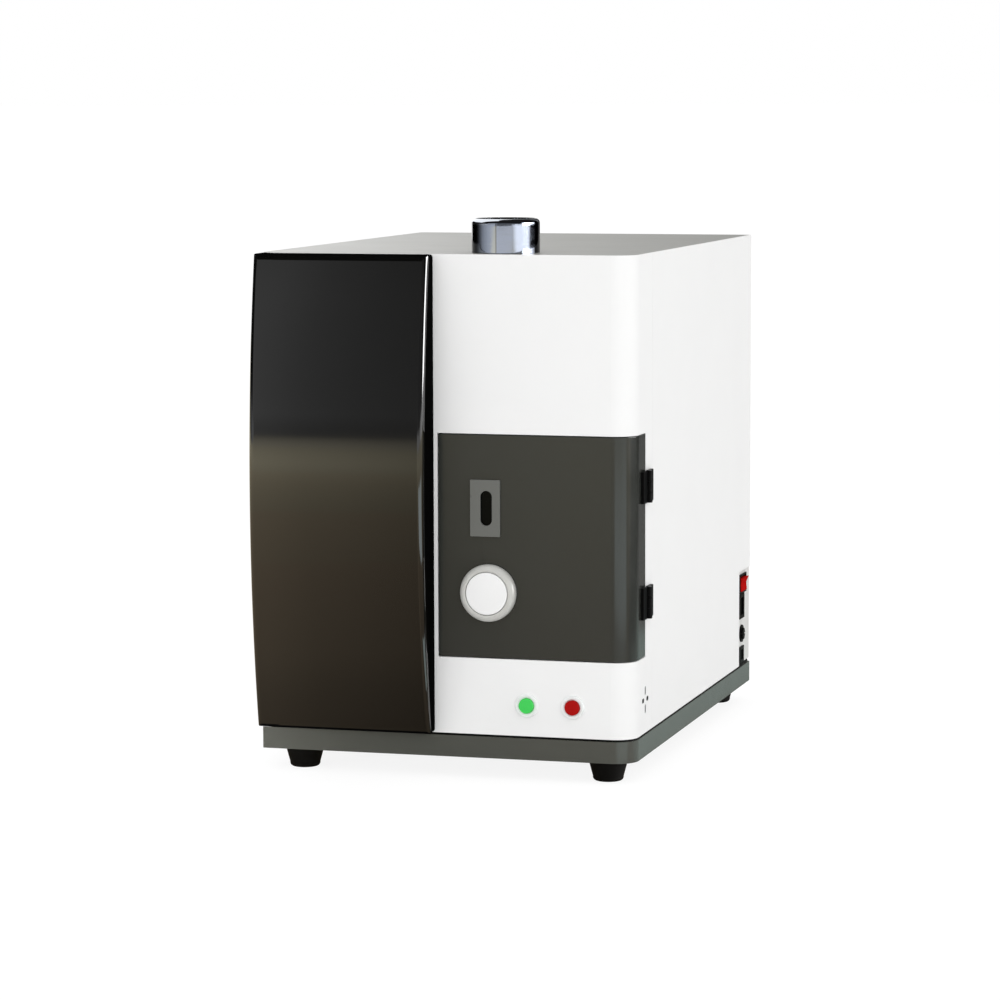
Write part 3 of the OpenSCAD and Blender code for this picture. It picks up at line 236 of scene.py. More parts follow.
def round_edges(obj, width, segments=3):
    """Rounds the sharp edges and lets the large faces set the shading."""
    if width:
        bevel = obj.modifiers.new("edges", "BEVEL")
        bevel.width = width
        bevel.segments = segments
        bevel.limit_method = "ANGLE"
        bevel.angle_limit = math.radians(SHARP)
        bevel.miter_outer = "MITER_ARC"
    normals = obj.modifiers.new("normals", "WEIGHTED_NORMAL")
    normals.keep_sharp = True


def dress_frame():
    """Gives every node of the frame its finish and softens its edges."""
    for material, names in NODE_LOOKS.items():
        for name in names.split():
            mesh = NODES[name].data
            mesh.materials.clear()
            mesh.materials.append(material)
    for width, names in NODE_EDGES.items():
        for name in names.split():
            weld = NODES[name].modifiers.new("weld", "WELD")
            weld.merge_threshold = WELD_GAP
            round_edges(NODES[name], width * MM, segments=2)


# Shapes


def facing_out(x, y, z):
    """Axes at a place whose local Z runs out of the cabinet's front."""
    turn = Vector((0, -1, 0)).to_track_quat("Z", "Y").to_matrix().to_4x4()
    return Matrix.Translation((x, y, z)) @ turn


def middle(node):
    lo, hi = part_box(node)
    return (lo + hi) / 2


def scaled(profile):
    """A profile in metres from one in millimetres."""
    return [(r * MM, h * MM) for r, h in profile]


def turning(profile, steps=96):
    """A solid of revolution about Z from (radius, height) pairs, which start and end on the axis or form a ring."""
    bm = bmesh.new()
    rings = []
    for radius, height in profile:
        if radius == 0:
            rings.append([bm.verts.new((0, 0, height))])
            continue
        turn = [2 * math.pi * i / steps for i in range(steps)]
        rings.append([bm.verts.new((radius * math.cos(t), radius * math.sin(t), height)) for t in turn])
    pairs = list(zip(rings, rings[1:]))
    if len(rings[0]) > 1 and len(rings[-1]) > 1:
        pairs.append((rings[-1], rings[0]))
    for lower, upper in pairs:
        for i in range(steps):
            j = (i + 1) % steps
            corners = [lower[i % len(lower)], lower[j % len(lower)], upper[j % len(upper)], upper[i % len(upper)]]
            corners = list(dict.fromkeys(corners))
            if len(corners) > 2:
                bm.faces.new(corners)
    return bm


def arc(centre, radius, start, end, steps=6):
    """Points of an arc in a profile, angles in degrees."""
    turn = [math.radians(start + (end - start) * i / steps) for i in range(steps + 1)]
    return [(centre[0] + radius * math.cos(t), centre[1] + radius * math.sin(t)) for t in turn]


def rounded_outline(width, height, radius, steps):
    """Outline of a rounded rectangle about the origin."""
    w, h = width / 2 - radius, height / 2 - radius
    points = []
    for (x, y), start in (((w, h), 0), ((-w, h), 90), ((-w, -h), 180), ((w, -h), 270)):
        points += arc((x, y), radius, start, start + 90, steps)
    return points


def plate(outline, depth, holes=()):
    """A flat plate from Z 0 to its depth, with holes right through it."""
    bm = bmesh.new()
    edges = []
    for loop in (outline, *holes):
        corners = [bm.verts.new((x, y, 0)) for x, y in loop]
        edges += [bm.edges.new((a, b)) for a, b in zip(corners, corners[1:] + corners[:1])]
    bmesh.ops.triangle_fill(bm, use_beauty=True, edges=edges)
    made = bmesh.ops.extrude_face_region(bm, geom=list(bm.faces))
    raised = [v for v in made["geom"] if isinstance(v, bmesh.types.BMVert)]
    bmesh.ops.translate(bm, vec=(0, 0, depth), verts=raised)
    return bm


def merge(*parts):
    """One mesh from several (mesh, matrix) pairs."""
    whole = bmesh.new()
    for part, matrix in parts:
        part.transform(matrix)
        scrap = bpy.data.meshes.new("scrap")
        part.to_mesh(scrap)
        part.free()
        whole.from_mesh(scrap)
        bpy.data.meshes.remove(scrap)
    return whole


def add_piece(name, bm, material, body, matrix=None, replaces=(), edge=0.0, segments=3, second=None):
    """Puts a mesh into the scene as a finished piece that moves with a body."""
    if matrix is not None:
        bm.transform(matrix)
    bmesh.ops.recalc_face_normals(bm, faces=list(bm.faces))
    for e in bm.edges:
        e.smooth = edge > 0 or not e.is_manifold or e.calc_face_angle() < math.radians(SHARP)
    mesh = bpy.data.meshes.new(name)
    bm.to_mesh(mesh)
    bm.free()
    mesh.materials.append(material)
    if second:
        mesh.materials.append(second)
    for polygon in mesh.polygons:
        polygon.use_smooth = True
    obj = bpy.data.objects.new(name, mesh)
    SCENE.collection.objects.link(obj)
    round_edges(obj, edge, segments)
    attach(obj, body)
    if replaces:
        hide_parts(*replaces)


# Bowed panel

PANEL_EDGE = 8 * MM
PANEL_CORNER = 4 * MM
LEAST_CORNER = 0.02 * MM
PANEL_BOW_END = 22 * MM
CABINET_CORNER = 30 * MM
PANEL_SEAT = 0.3 * MM

# Rows of faces up the bow, and columns, in millimetres from the left, where its back turns round the cabinet
PANEL_LEVELS = 72
PANEL_COLUMNS = (6, 9, 13, 18, 24, 30)
# Loops round the rounded edge, in degrees from its flank
EDGE_TURNS = (0, 12, 23, 34, 45, 54, 63, 72, 81, 90)

# Faces are matt where their normal's Y is below the one or its Z above the other
MATT_SIDE = 0.28
MATT_TOP = 0.45


def panel_front(lo, hi):
    """Y of the panel's front by x and z: straight across, an arc from bottom to top and rounded all round."""
    half, mid_z = (hi.z - lo.z) / 2, (hi.z + lo.z) / 2
    sag = FRONT_Y - lo.y - PANEL_BOW_END
    radius = (half * half + sag * sag) / (2 * sag)
    axis_y = lo.y + radius
    fillet_y = axis_y - math.sqrt((radius - PANEL_EDGE) ** 2 - (half - PANEL_EDGE) ** 2)

    def drop(inside):
        """How far a rounded edge stands in front of its own centre line."""
        return math.sqrt(max(0.0, PANEL_EDGE ** 2 - max(0.0, PANEL_EDGE - inside) ** 2))

    def front(x, z):
        reach = radius - PANEL_EDGE + drop(min(x - lo.x, hi.x - x))
        bow = axis_y - math.sqrt(reach ** 2 - (z - mid_z) ** 2)
        inside = half - abs(z - mid_z)
        return max(bow, fillet_y - drop(inside)) if inside < PANEL_EDGE else bow

    return front


def panel_back(lo, hi):
    """Y of the cabinet's face behind the panel by x and z, which turns round the front corner."""

    def back(x, z):
        out = lo.x + CABINET_CORNER - x
        if out < 0:
            return FRONT_Y
        return min(hi.y, FRONT_Y + CABINET_CORNER - math.sqrt((CABINET_CORNER + PANEL_SEAT) ** 2 - out ** 2))

    return back


def panel_outline(lo, hi, inset):
    """Chains of the panel's outline in front view: left, top, right and bottom, with the corners in between."""
    wide = hi.x - lo.x - 2 * PANEL_CORNER
    across = [0.0] + [(d * MM - PANEL_CORNER) / wide for d in PANEL_COLUMNS] + [1.0]
    x0, x1, z0, z1 = lo.x + inset, hi.x - inset, lo.z + inset, hi.z - inset
    c = max(PANEL_CORNER - inset, LEAST_CORNER)
    rise = [z0 + c + (z1 - z0 - 2 * c) * i / PANEL_LEVELS for i in range(PANEL_LEVELS + 1)]
    span = [x0 + c + (x1 - x0 - 2 * c) * t for t in across]
    bends = [arc(centre, c, start, start - 90)[1:-1] for centre, start in (
        ((x0 + c, z1 - c), 180), ((x1 - c, z1 - c), 90), ((x1 - c, z0 + c), 0), ((x0 + c, z0 + c), -90))]
    return [[(x0, z) for z in rise], bends[0], [(x, z1) for x in span], bends[1],
            [(x1, z) for z in reversed(rise)], bends[2], [(x, z0) for x in reversed(span)], bends[3]]


def black_panel():
    """The bowed panel, as rings from its back round the edge to its front, gloss in front and matt on its flanks."""
    lo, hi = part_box("bow_panel")
    bm = bmesh.new()

    def ring(inset, depth):
        return [[bm.verts.new((x, depth(x, z), z)) for x, z in chain] for chain in panel_outline(lo, hi, inset)]

    front = panel_front(lo, hi)
    rear = ring(0, panel_back(lo, hi))
    rings = [rear] + [ring(PANEL_EDGE * (1 - math.cos(math.radians(a))), front) for a in EDGE_TURNS]
    loops = [[v for chain in chains for v in chain] for chains in rings]
    for outer, inner in zip(loops, loops[1:]):
        for i in range(len(outer)):
            j = (i + 1) % len(outer)
            face = bm.faces.new((outer[i], outer[j], inner[j], inner[i]))
            face.normal_update()
            face.material_index = int(abs(face.normal.y) < MATT_SIDE or abs(face.normal.z) > MATT_TOP)

    # The front is closed row by row, and its top and bottom rows take in the corners
    left, top_left, top, top_right, right, low_right, low, low_left = rings[-1]
    right = right[::-1]
    for i in range(PANEL_LEVELS):
        bm.faces.new((left[i], right[i], right[i + 1], left[i + 1]))
    bm.faces.new([left[-1], *top_left, *top, *top_right, right[-1]])
    bm.faces.new([right[0], *low_right, *low, *low_left, left[0]])

    # The back is closed in upright strips, because it bends round the cabinet's corner
    left, top_left, top, top_right, right, low_right, low, low_left = rear
    upper = [left[-1], *top_left, *top, *top_right, right[0]]
    lower = [left[0], *reversed(low_left), *reversed(low), *reversed(low_right), right[-1]]
    strips = [[lower[i], lower[i + 1], upper[i + 1], upper[i]] for i in range(len(upper) - 1)]
    strips[0] += left[-2:0:-1]
    strips[-1][2:2] = right[-2:0:-1]
    for strip in strips:
        bm.faces.new(strip).material_index = 1
    add_piece("black_panel", bm, BLACK_GLOSS, "cabinet", replaces=["bow_panel"], second=BLACK_MATT)


# Door fittings

# Knob in millimetres: heights are in front of the door
KNOB_R = 37
KNOB_GAP = 0.3
KNOB_SHOULDER = 5.2
KNOB_CROWN_W, KNOB_CROWN_H = 7.6, 7.7
KNOB_TOP = KNOB_SHOULDER + KNOB_CROWN_H
SPINDLE_R, SPINDLE_L = 5, 10
FACE_SEAT, FACE_SEAT_R = 8.4, 28.1
FACE_R = 27.4
FACE_CROWN = [(20, 13.3), (10, 13.6), (0, 13.7)]

SLOT_OFF = 1.5 * MM
SLOT_W = 15.4 * MM
SLOT_H = 45 * MM
# Keeps the two bends of the slot from meeting in one point
SLOT_FLAT = 0.01 * MM
PLATE_CORNER = 1.0 * MM
PLATE_EDGE = 0.9 * MM

HINGE_H = 41 * MM
DOOR_LEAF = 20 * MM
FRAME_LEAF = 23 * MM
LEAF_T = 4 * MM
LEAF_CORNER = 1.5 * MM
LEAF_GAP = 0.5 * MM
LEAF_EDGE = 0.4 * MM
KNUCKLE_R = 4.5 * MM
KNUCKLE_GAP = 0.3 * MM
KNUCKLE_CHAMFER = 0.4 * MM
KNUCKLE_STEPS = 40
PIN_R = 2.05 * MM


def knob():
    """A satin ring on its spindle, with a white face seated in it."""
    centre = middle("knob_cap")
    place = facing_out(centre.x, FRONT_Y, centre.z)
    ring = [(0, -SPINDLE_L), (SPINDLE_R, -SPINDLE_L), (SPINDLE_R, KNOB_GAP), (KNOB_R - 1, KNOB_GAP),
            (KNOB_R - 0.2, KNOB_GAP + 0.5), (KNOB_R, KNOB_GAP + 1.3), (KNOB_R, KNOB_SHOULDER)]
    for degrees in range(10, 91, 10):
        turn = math.radians(degrees)
        ring.append((KNOB_R - KNOB_CROWN_W * (1 - math.cos(turn)), KNOB_SHOULDER + KNOB_CROWN_H * math.sin(turn)))
    ring += [(FACE_SEAT_R + 0.6, KNOB_TOP - 0.2), (FACE_SEAT_R + 0.1, KNOB_TOP - 0.7), (FACE_SEAT_R, FACE_SEAT),
             (0, FACE_SEAT)]
    face = [(0, FACE_SEAT), (FACE_R, FACE_SEAT), (FACE_R, KNOB_TOP - 1), (FACE_R - 0.3, KNOB_TOP - 0.3),
            (FACE_R - 1, KNOB_TOP), *FACE_CROWN]
    add_piece("knob_ring", turning(scaled(ring)), KNOB_METAL, "knob", place, ["latch_knob"])
    add_piece("knob_face", turning(scaled(face)), WHITE_PLASTIC, "knob", place, ["knob_cap"])


def sight_slot():
    """The raised plate with its obround slot."""
    lo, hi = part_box("sight_plate")
    centre = (lo + hi) / 2
    outer = rounded_outline(hi.x - lo.x, hi.z - lo.z, PLATE_CORNER, 3)
    slot = [(x + SLOT_OFF, z) for x, z in rounded_outline(SLOT_W, SLOT_H, SLOT_W / 2 - SLOT_FLAT, 12)]
    place = facing_out(centre.x, hi.y, centre.z)
    add_piece("sight_frame", plate(outer, hi.y - lo.y, [slot]), PLATE_GREY, "door", place,
              ["sight_plate"], edge=PLATE_EDGE)


def hinge_half(face_x, axis, z, side, leaf, spans):
    """Parts of one hinge half: a leaf in front of the pin or behind it, and a barrel on each span of the pin."""
    axis_x, axis_y = axis
    # Takes a plate's own axes x, y, z to the cabinet's y, z, x
    upright = Matrix(((0, 0, 1), (1, 0, 0), (0, 1, 0))).to_4x4()
    leaf_y = axis_y + side * (KNUCKLE_R + LEAF_GAP + leaf / 2)
    parts = [(plate(rounded_outline(leaf, HINGE_H, LEAF_CORNER, 4), LEAF_T),
              Matrix.Translation((face_x, leaf_y, z)) @ upright)]
    reach = side * (KNUCKLE_R + 2 * LEAF_GAP)
    bridge = [(KNUCKLE_GAP, 0), (LEAF_T, 0), (LEAF_T, reach), (KNUCKLE_GAP, reach)]
    for low, high in spans:
        barrel = [(PIN_R, low), (KNUCKLE_R - KNUCKLE_CHAMFER, low), (KNUCKLE_R, low + KNUCKLE_CHAMFER),
                  (KNUCKLE_R, high - KNUCKLE_CHAMFER), (KNUCKLE_R - KNUCKLE_CHAMFER, high), (PIN_R, high)]
        parts.append((turning(barrel, KNUCKLE_STEPS), Matrix.Translation((axis_x, axis_y, z))))
        parts.append((plate(bridge, high - low), Matrix.Translation((face_x, axis_y, z + low))))
    return parts


def hinges():
    """Two black butt hinges with plain leaves and a three-part knuckle."""
    lo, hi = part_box("door_hinge_leaves")
    axis = (hi.x - KNUCKLE_R, hi.y - KNUCKLE_R)
    end, third = HINGE_H / 2, HINGE_H / 6
    halves = {
        "door": ("door_hinge_leaves", -1, DOOR_LEAF, [(-third, third)]),
        "cabinet": ("frame_hinge_leaves", 1, FRAME_LEAF,
                    [(-end, -third - KNUCKLE_GAP), (third + KNUCKLE_GAP, end)]),
    }
    for body, (node, side, leaf, spans) in halves.items():
        low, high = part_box(node)
        parts = []
        for z in (low.z + end, high.z - end):
            parts += hinge_half(lo.x, axis, z, side, leaf, spans)
        add_piece(body + "_hinge_halves", merge(*parts), BLACK_PLASTIC, body, replaces=[node],
                  edge=LEAF_EDGE, segments=2)


# Buttons, 22 mm panel units in millimetres: heights are in front of the cabinet

BARREL_R, BARREL_L = 11, 16
BORE_R = 9.85
NUT_R, NUT_BACK, NUT_FRONT = 14.5, -7, -2
CUP_L, CUP_FLOOR = 20, 2
BEZEL_R, BEZEL_ROUND, BEZEL_SIDE = 15.5, 1.5, 1.8
BEZEL_ROLL = [(13.2, 3.5), (11.6, 3.4), (10.4, 2.8), (9.95, 2.2)]
CONTACT_W, CONTACT_L, CONTACT_BACK = 26, 33, 52
CONTACT_CORNER = 2
LENS_R, LENS_BACK = 9.8, 11.5
LENS_CROWN = [(LENS_R, 4.6), (9.65, 5.2), (9.2, 5.6), (8.4, 5.75), (7.6, 5.7), (5, 5.85), (0, 5.95)]


def buttons():
    """Green and red lenses in bright bezels, with the barrels, nuts and contact blocks behind them."""
    bezel = [(BORE_R, -BARREL_L), (BARREL_R, -BARREL_L), (BARREL_R, NUT_BACK), (NUT_R, NUT_BACK), (NUT_R, NUT_FRONT),
             (BARREL_R, NUT_FRONT), (BARREL_R, 0), (BEZEL_R - 0.3, 0), (BEZEL_R, 0.3), (BEZEL_R, BEZEL_SIDE)]
    bezel += arc((BEZEL_R - BEZEL_ROUND, BEZEL_SIDE + 0.1), BEZEL_ROUND, 10, 80, 5) + BEZEL_ROLL
    cup = [(0, -CUP_L), (BARREL_R, -CUP_L), (BARREL_R, -BARREL_L), (BORE_R, -BARREL_L), (BORE_R, CUP_FLOOR - CUP_L),
           (0, CUP_FLOOR - CUP_L)]
    lens = [(0, -LENS_BACK), (LENS_R, -LENS_BACK), *LENS_CROWN]
    block = rounded_outline(CONTACT_W * MM, CONTACT_W * MM, CONTACT_CORNER * MM, 3)
    parts = []
    for name, material, slot in (("start", GREEN, "green_lens"), ("stop", RED, "red_lens")):
        centre = middle(name + "_button")
        place = facing_out(centre.x, FRONT_Y, centre.z)
        parts.append((turning(scaled(bezel)), place))
        parts.append((turning(scaled(cup), 48), place))
        parts.append((plate(block, CONTACT_L * MM), place @ Matrix.Translation((0, 0, -CONTACT_BACK * MM))))
        add_piece(name + "_lens", turning(scaled(lens)), material, name + "_button", place, [name + "_button"])
    add_piece("button_bezels", merge(*parts), BEZEL, "cabinet", replaces=["button_bodies"])


# Exhaust stack and feet

STACK_WALL = 2 * MM
STACK_RIM = 6 * MM
STACK_SEAT_CHAMFER = 0.3 * MM
# The shaft keeps its flat shading up to this far below the rim
SHAFT_END = 4 * MM
# The rim's plain finish, without the shaft's painted dark edges, starts this far up its rounding
RIM_FINISH = 1.5 * MM

FOOT_TOP_R = 25.5 * MM
FOOT_LOW_R = 20 * MM
FOOT_EDGE = 5 * MM
FOOT_CHAMFER = 0.5 * MM
FOOT_BORE_R, FOOT_BORE_DEPTH = 8 * MM, 15 * MM
FOOT_BORE_CHAMFER = 0.4 * MM
FOOT_SCREW_R = 3 * MM


def stack():
    """The polished tube with its turned-in rim; the shaft's colour darkens towards its outline as painted dark
    reflections, the rim is plain steel.
    """
    lo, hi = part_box("exhaust_stack")
    centre = (lo + hi) / 2
    r = (hi.x - lo.x) / 2
    rim_z = hi.z - STACK_RIM
    spigot_r = r - STACK_WALL / 2
    profile = [(r - STACK_WALL, lo.z), (spigot_r, lo.z), (spigot_r, TOP_Z), (r - STACK_SEAT_CHAMFER, TOP_Z),
               (r, TOP_Z + STACK_SEAT_CHAMFER), (r, rim_z - SHAFT_END)]
    profile += arc((r - STACK_RIM, rim_z), STACK_RIM, 0, 90, 10)
    profile += arc((r - STACK_RIM, rim_z), STACK_RIM - STACK_WALL, 90, 0, 8)
    tube = turning(profile, 160)
    # Faces on the rim take the plain steel, the shaft keeps the painted dark edges
    for face in tube.faces:
        face.material_index = int(face.calc_center_median().z > rim_z + RIM_FINISH)
    add_piece("stack_tube", tube, POLISHED, "cabinet",
              Matrix.Translation((centre.x, centre.y, 0)), ["exhaust_stack"], second=POLISHED_RIM)


def feet():
    """Four tapered rubber feet, each with a bore for its screw."""
    lo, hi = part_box("rubber_feet")
    tall = hi.z - lo.z
    profile = [(FOOT_SCREW_R, tall), (FOOT_TOP_R - FOOT_CHAMFER, tall), (FOOT_TOP_R, tall - FOOT_CHAMFER)]
    profile += arc((FOOT_LOW_R - FOOT_EDGE, FOOT_EDGE), FOOT_EDGE, 10, -90, 8)
    profile += [(FOOT_BORE_R + FOOT_BORE_CHAMFER, 0), (FOOT_BORE_R, FOOT_BORE_CHAMFER),
                (FOOT_BORE_R, FOOT_BORE_DEPTH), (FOOT_SCREW_R, FOOT_BORE_DEPTH)]
    parts = []
    for x in (lo.x + FOOT_TOP_R, hi.x - FOOT_TOP_R):
        for y in (lo.y + FOOT_TOP_R, hi.y - FOOT_TOP_R):
            parts.append((turning(profile, 64), Matrix.Translation((x, y, 0))))
    add_piece("foot_pads", merge(*parts), RUBBER, "cabinet", replaces=["rubber_feet"])


# Camera

# The photograph's viewpoint, found from the cabinet's edges: place, turns in degrees and lens in millimetres
CAMERA_PLACE = (1.34924, FRONT_Y - 4.5271, 0.87748)
CAMERA_YAW, CAMERA_PITCH, CAMERA_ROLL = 15.7817, 6.2464, -0.1697
CAMERA_LENS = 133.218
CAMERA_SENSOR = 36
CAMERA_REACH = 400


def camera():
    yaw, pitch, roll = (math.radians(a) for a in (CAMERA_YAW, CAMERA_PITCH, CAMERA_ROLL))
    ahead = Vector((-math.sin(yaw) * math.cos(pitch), math.cos(yaw) * math.cos(pitch), -math.sin(pitch)))
    right = Vector((math.cos(yaw), math.sin(yaw), 0))
    up = right.cross(ahead)
    across = math.cos(roll) * right + math.sin(roll) * up
    upright = math.cos(roll) * up - math.sin(roll) * right
    data = bpy.data.cameras.new("camera")
    data.sensor_width = CAMERA_SENSOR
    data.lens = CAMERA_LENS
    data.clip_end = CAMERA_REACH
    obj = bpy.data.objects.new("camera", data)
    turn = Matrix((across, upright, -ahead)).transposed().to_4x4()
    obj.matrix_world = Matrix.Translation(CAMERA_PLACE) @ turn
    SCENE.collection.objects.link(obj)
    SCENE.camera = obj


# Stage

FLOOR_REACH = 300
FLOOR_GREY = 0.86
FLOOR_ROUGH = 0.9
# What the lens sees of the floor: this share of an even glow, the rest as it is lit
FLOOR_GLOW = 1.1
FLOOR_GLOW_SHARE = 0.8

# Strength of the world as the lens, other lit surfaces and reflections see it
SKY_SEEN = 1.0
SKY_LIGHT = 0.85
SKY_MIRRORED = 0.015

NEUTRAL = (1, 1, 1)
# Heights of cards that lie on the floor
LYING = 0.001
LYING_UNDER = 0.0008

# Planes that cards share
LEFT_X = -9
REAR_Y = 9
WINDOW_X = 10.9
WINDOW_SILL = 0.52

# Gloss that fans out over the black panel: levels by the bearing, over a span in degrees, from the point behind the
# panel where the lens is mirrored
FAN_EYE = (1.349, 4.07, 0)
FAN_SPAN = (13.5, 20.0)
FAN = [(0.0, 0.5), (0.08, 1.2), (0.3, 1.2), (0.42, 0.7), (0.48, 0.5), (0.54, 0.55), (0.69, 0.72), (0.83, 1.0),
       (0.95, 1.55), (1.0, 1.65)]
FAN_LOW = [(0.0, 0.9), (0.08, 1.2), (0.3, 1.2), (0.42, 0.8), (0.48, 0.55), (0.54, 0.68), (0.69, 0.88), (0.83, 1.07),
           (0.95, 1.4), (1.0, 1.45)]

# Round rugs on each other, warmer the smaller they are: reach and colour
RUGS = [(60, (1.0, 0.93, 0.74)), (14, (1.0, 0.91, 0.66)), (6, (1.0, 0.87, 0.61)), (3, (1.0, 0.82, 0.57)),
        (1.7, (1.0, 0.79, 0.55))]
RUG_SIDES = 48
RUG_LIFT, RUG_STEP = 0.4 * MM, 0.05 * MM
RUG_STRENGTH = 0.9
# Their glow by the distance from the middle, over a span in powers of ten; it is dim near the cabinet, a painted
# shadow of the floor round it as reflections see it
RUG_SPAN = (-0.4, 1.8)
RUG_GLOW = [(0.045, 0.2), (0.094, 0.24), (0.145, 0.31), (0.237, 0.37), (0.308, 0.43), (0.411, 0.53), (0.483, 0.66),
            (0.582, 0.93), (0.662, 0.86), (0.783, 0.56), (0.889, 0.28), (0.99, 0.22)]


def plain_mesh(name, corners):
    mesh = bpy.data.meshes.new(name)
    mesh.from_pydata(corners, [], [tuple(range(len(corners)))])
    obj = bpy.data.objects.new(name, mesh)
    SCENE.collection.objects.link(obj)
    return obj


def wall(start, end, low, high):
    """Corners of an upright card between two (x, y) places."""
    return [(*start, low), (*end, low), (*end, high), (*start, high)]


def rug(outline, height=LYING):
    """Corners of a card that lies on the floor."""
    return [(x, y, height) for x, y in outline]


def along(tree, place, axis, span):
    """0 to 1 over a span of an axis, or of the distance from the middle, as a power of ten, for the axis R."""
    if axis == "R":
        value = add_node(tree, "ShaderNodeVectorMath", {0: place}, operation="LENGTH").outputs["Value"]
        value = add_node(tree, "ShaderNodeMath", {0: value, 1: 10.0}, operation="LOGARITHM").outputs[0]
    else:
        value = add_node(tree, "ShaderNodeSeparateXYZ", {0: place}).outputs[axis]
    span = {"From Min": span[0], "From Max": span[1]}
    return add_node(tree, "ShaderNodeMapRange", {"Value": value, **span}).outputs[0]


def bearing(tree, place):
    """0 to 1 over the fan's span of bearings from its eye."""
    away = add_node(tree, "ShaderNodeVectorMath", {0: FAN_EYE, 1: place}, operation="SUBTRACT").outputs[0]
    away = add_node(tree, "ShaderNodeSeparateXYZ", {0: away})
    angle = add_node(tree, "ShaderNodeMath", {0: away.outputs["X"], 1: away.outputs["Y"]},
                     operation="ARCTAN2").outputs[0]
    span = {"From Min": math.radians(FAN_SPAN[0]), "From Max": math.radians(FAN_SPAN[1])}
    return add_node(tree, "ShaderNodeMapRange", {"Value": angle, **span}).outputs[0]


def card(name, corners, colour, strength, axis=None, span=(0, 1), stops=(), fan=None):
    """A card beside the set that only reflections see, its glow even, or graded along an axis and by a fan."""
    obj = plain_mesh(name, corners)
    material = bpy.data.materials.new(name)
    material.use_nodes = True
    tree = material.node_tree
    tree.nodes.clear()
    light = add_node(tree, "ShaderNodeEmission", {"Color": (*colour, 1), "Strength": strength})
    if axis is not None:
        place = add_node(tree, "ShaderNodeTexCoord").outputs["Object"]
        level = ramp(tree, along(tree, place, axis, span), stops)
        level = add_node(tree, "ShaderNodeMath", {0: level, 1: strength}, operation="MULTIPLY").outputs[0]
        if fan:
            fanned = ramp(tree, bearing(tree, place), fan)
            level = add_node(tree, "ShaderNodeMath", {0: level, 1: fanned}, operation="MULTIPLY").outputs[0]
        tree.links.new(level, light.inputs["Strength"])
    out = add_node(tree, "ShaderNodeOutputMaterial")
    tree.links.new(light.outputs[0], out.inputs["Surface"])
    obj.data.materials.append(material)
    obj.visible_camera = False
    obj.visible_diffuse = False
    obj.visible_shadow = False
    obj.visible_transmission = False


def floor():
    """A pale floor, which the lens, reflections and glass see lit a little more evenly than it is."""
    reach = FLOOR_REACH
    obj = plain_mesh("floor", rug([(-reach, -reach), (reach, -reach), (reach, reach), (-reach, reach)], 0))
    material = bpy.data.materials.new("pale_floor")
    material.use_nodes = True
    tree = material.node_tree
    shader = tree.nodes["Principled BSDF"]
    shader.inputs["Base Color"].default_value = (FLOOR_GREY, FLOOR_GREY, FLOOR_GREY, 1)
    shader.inputs["Roughness"].default_value = FLOOR_ROUGH
    shader.inputs["Specular IOR Level"].default_value = 0.0
    path = add_node(tree, "ShaderNodeLightPath")
    seen = path.outputs["Is Camera Ray"]
    for ray in ("Is Glossy Ray", "Is Transmission Ray"):
        seen = add_node(tree, "ShaderNodeMath", {0: seen, 1: path.outputs[ray]}, operation="MAXIMUM").outputs[0]
    share = add_node(tree, "ShaderNodeMath", {0: seen, 1: FLOOR_GLOW_SHARE}, operation="MULTIPLY").outputs[0]
    light = add_node(tree, "ShaderNodeEmission", {"Strength": FLOOR_GLOW}).outputs[0]
    both = add_node(tree, "ShaderNodeMixShader", {0: share, 1: shader.outputs[0], 2: light})
    tree.links.new(both.outputs[0], tree.nodes["Material Output"].inputs["Surface"])
    obj.data.materials.append(material)


def sky():
    """White all round, but dark where reflections look past the cards."""
    world = bpy.data.worlds.new("studio")
    SCENE.world = world
    world.use_nodes = True
    tree = world.node_tree
    path = add_node(tree, "ShaderNodeLightPath")
    light = add_node(tree, "ShaderNodeMapRange", {
        "Value": path.outputs["Is Camera Ray"], "To Min": SKY_LIGHT, "To Max": SKY_SEEN})
    light = add_node(tree, "ShaderNodeMapRange", {
        "Value": path.outputs["Is Glossy Ray"], "To Min": light.outputs[0], "To Max": SKY_MIRRORED})
    tree.nodes["Background"].inputs["Color"].default_value = (1, 1, 1, 1)
    tree.links.new(light.outputs[0], tree.nodes["Background"].inputs["Strength"])


def softbox(name, place, aim, energy, size=(3.0, 2.0), spread=180):
    """A lamp that lights the set and that reflections don't see."""
    data = bpy.data.lights.new(name, "AREA")
    data.shape = "RECTANGLE"
    data.size, data.size_y = size
    data.energy = energy
    data.spread = math.radians(spread)
    obj = bpy.data.objects.new(name, data)
    obj.location = place
    obj.rotation_mode = "QUATERNION"
    obj.rotation_quaternion = (Vector(place) - Vector(aim)).to_track_quat("Z", "Y")
    obj.visible_camera = False
    obj.visible_glossy = False
    SCENE.collection.objects.link(obj)


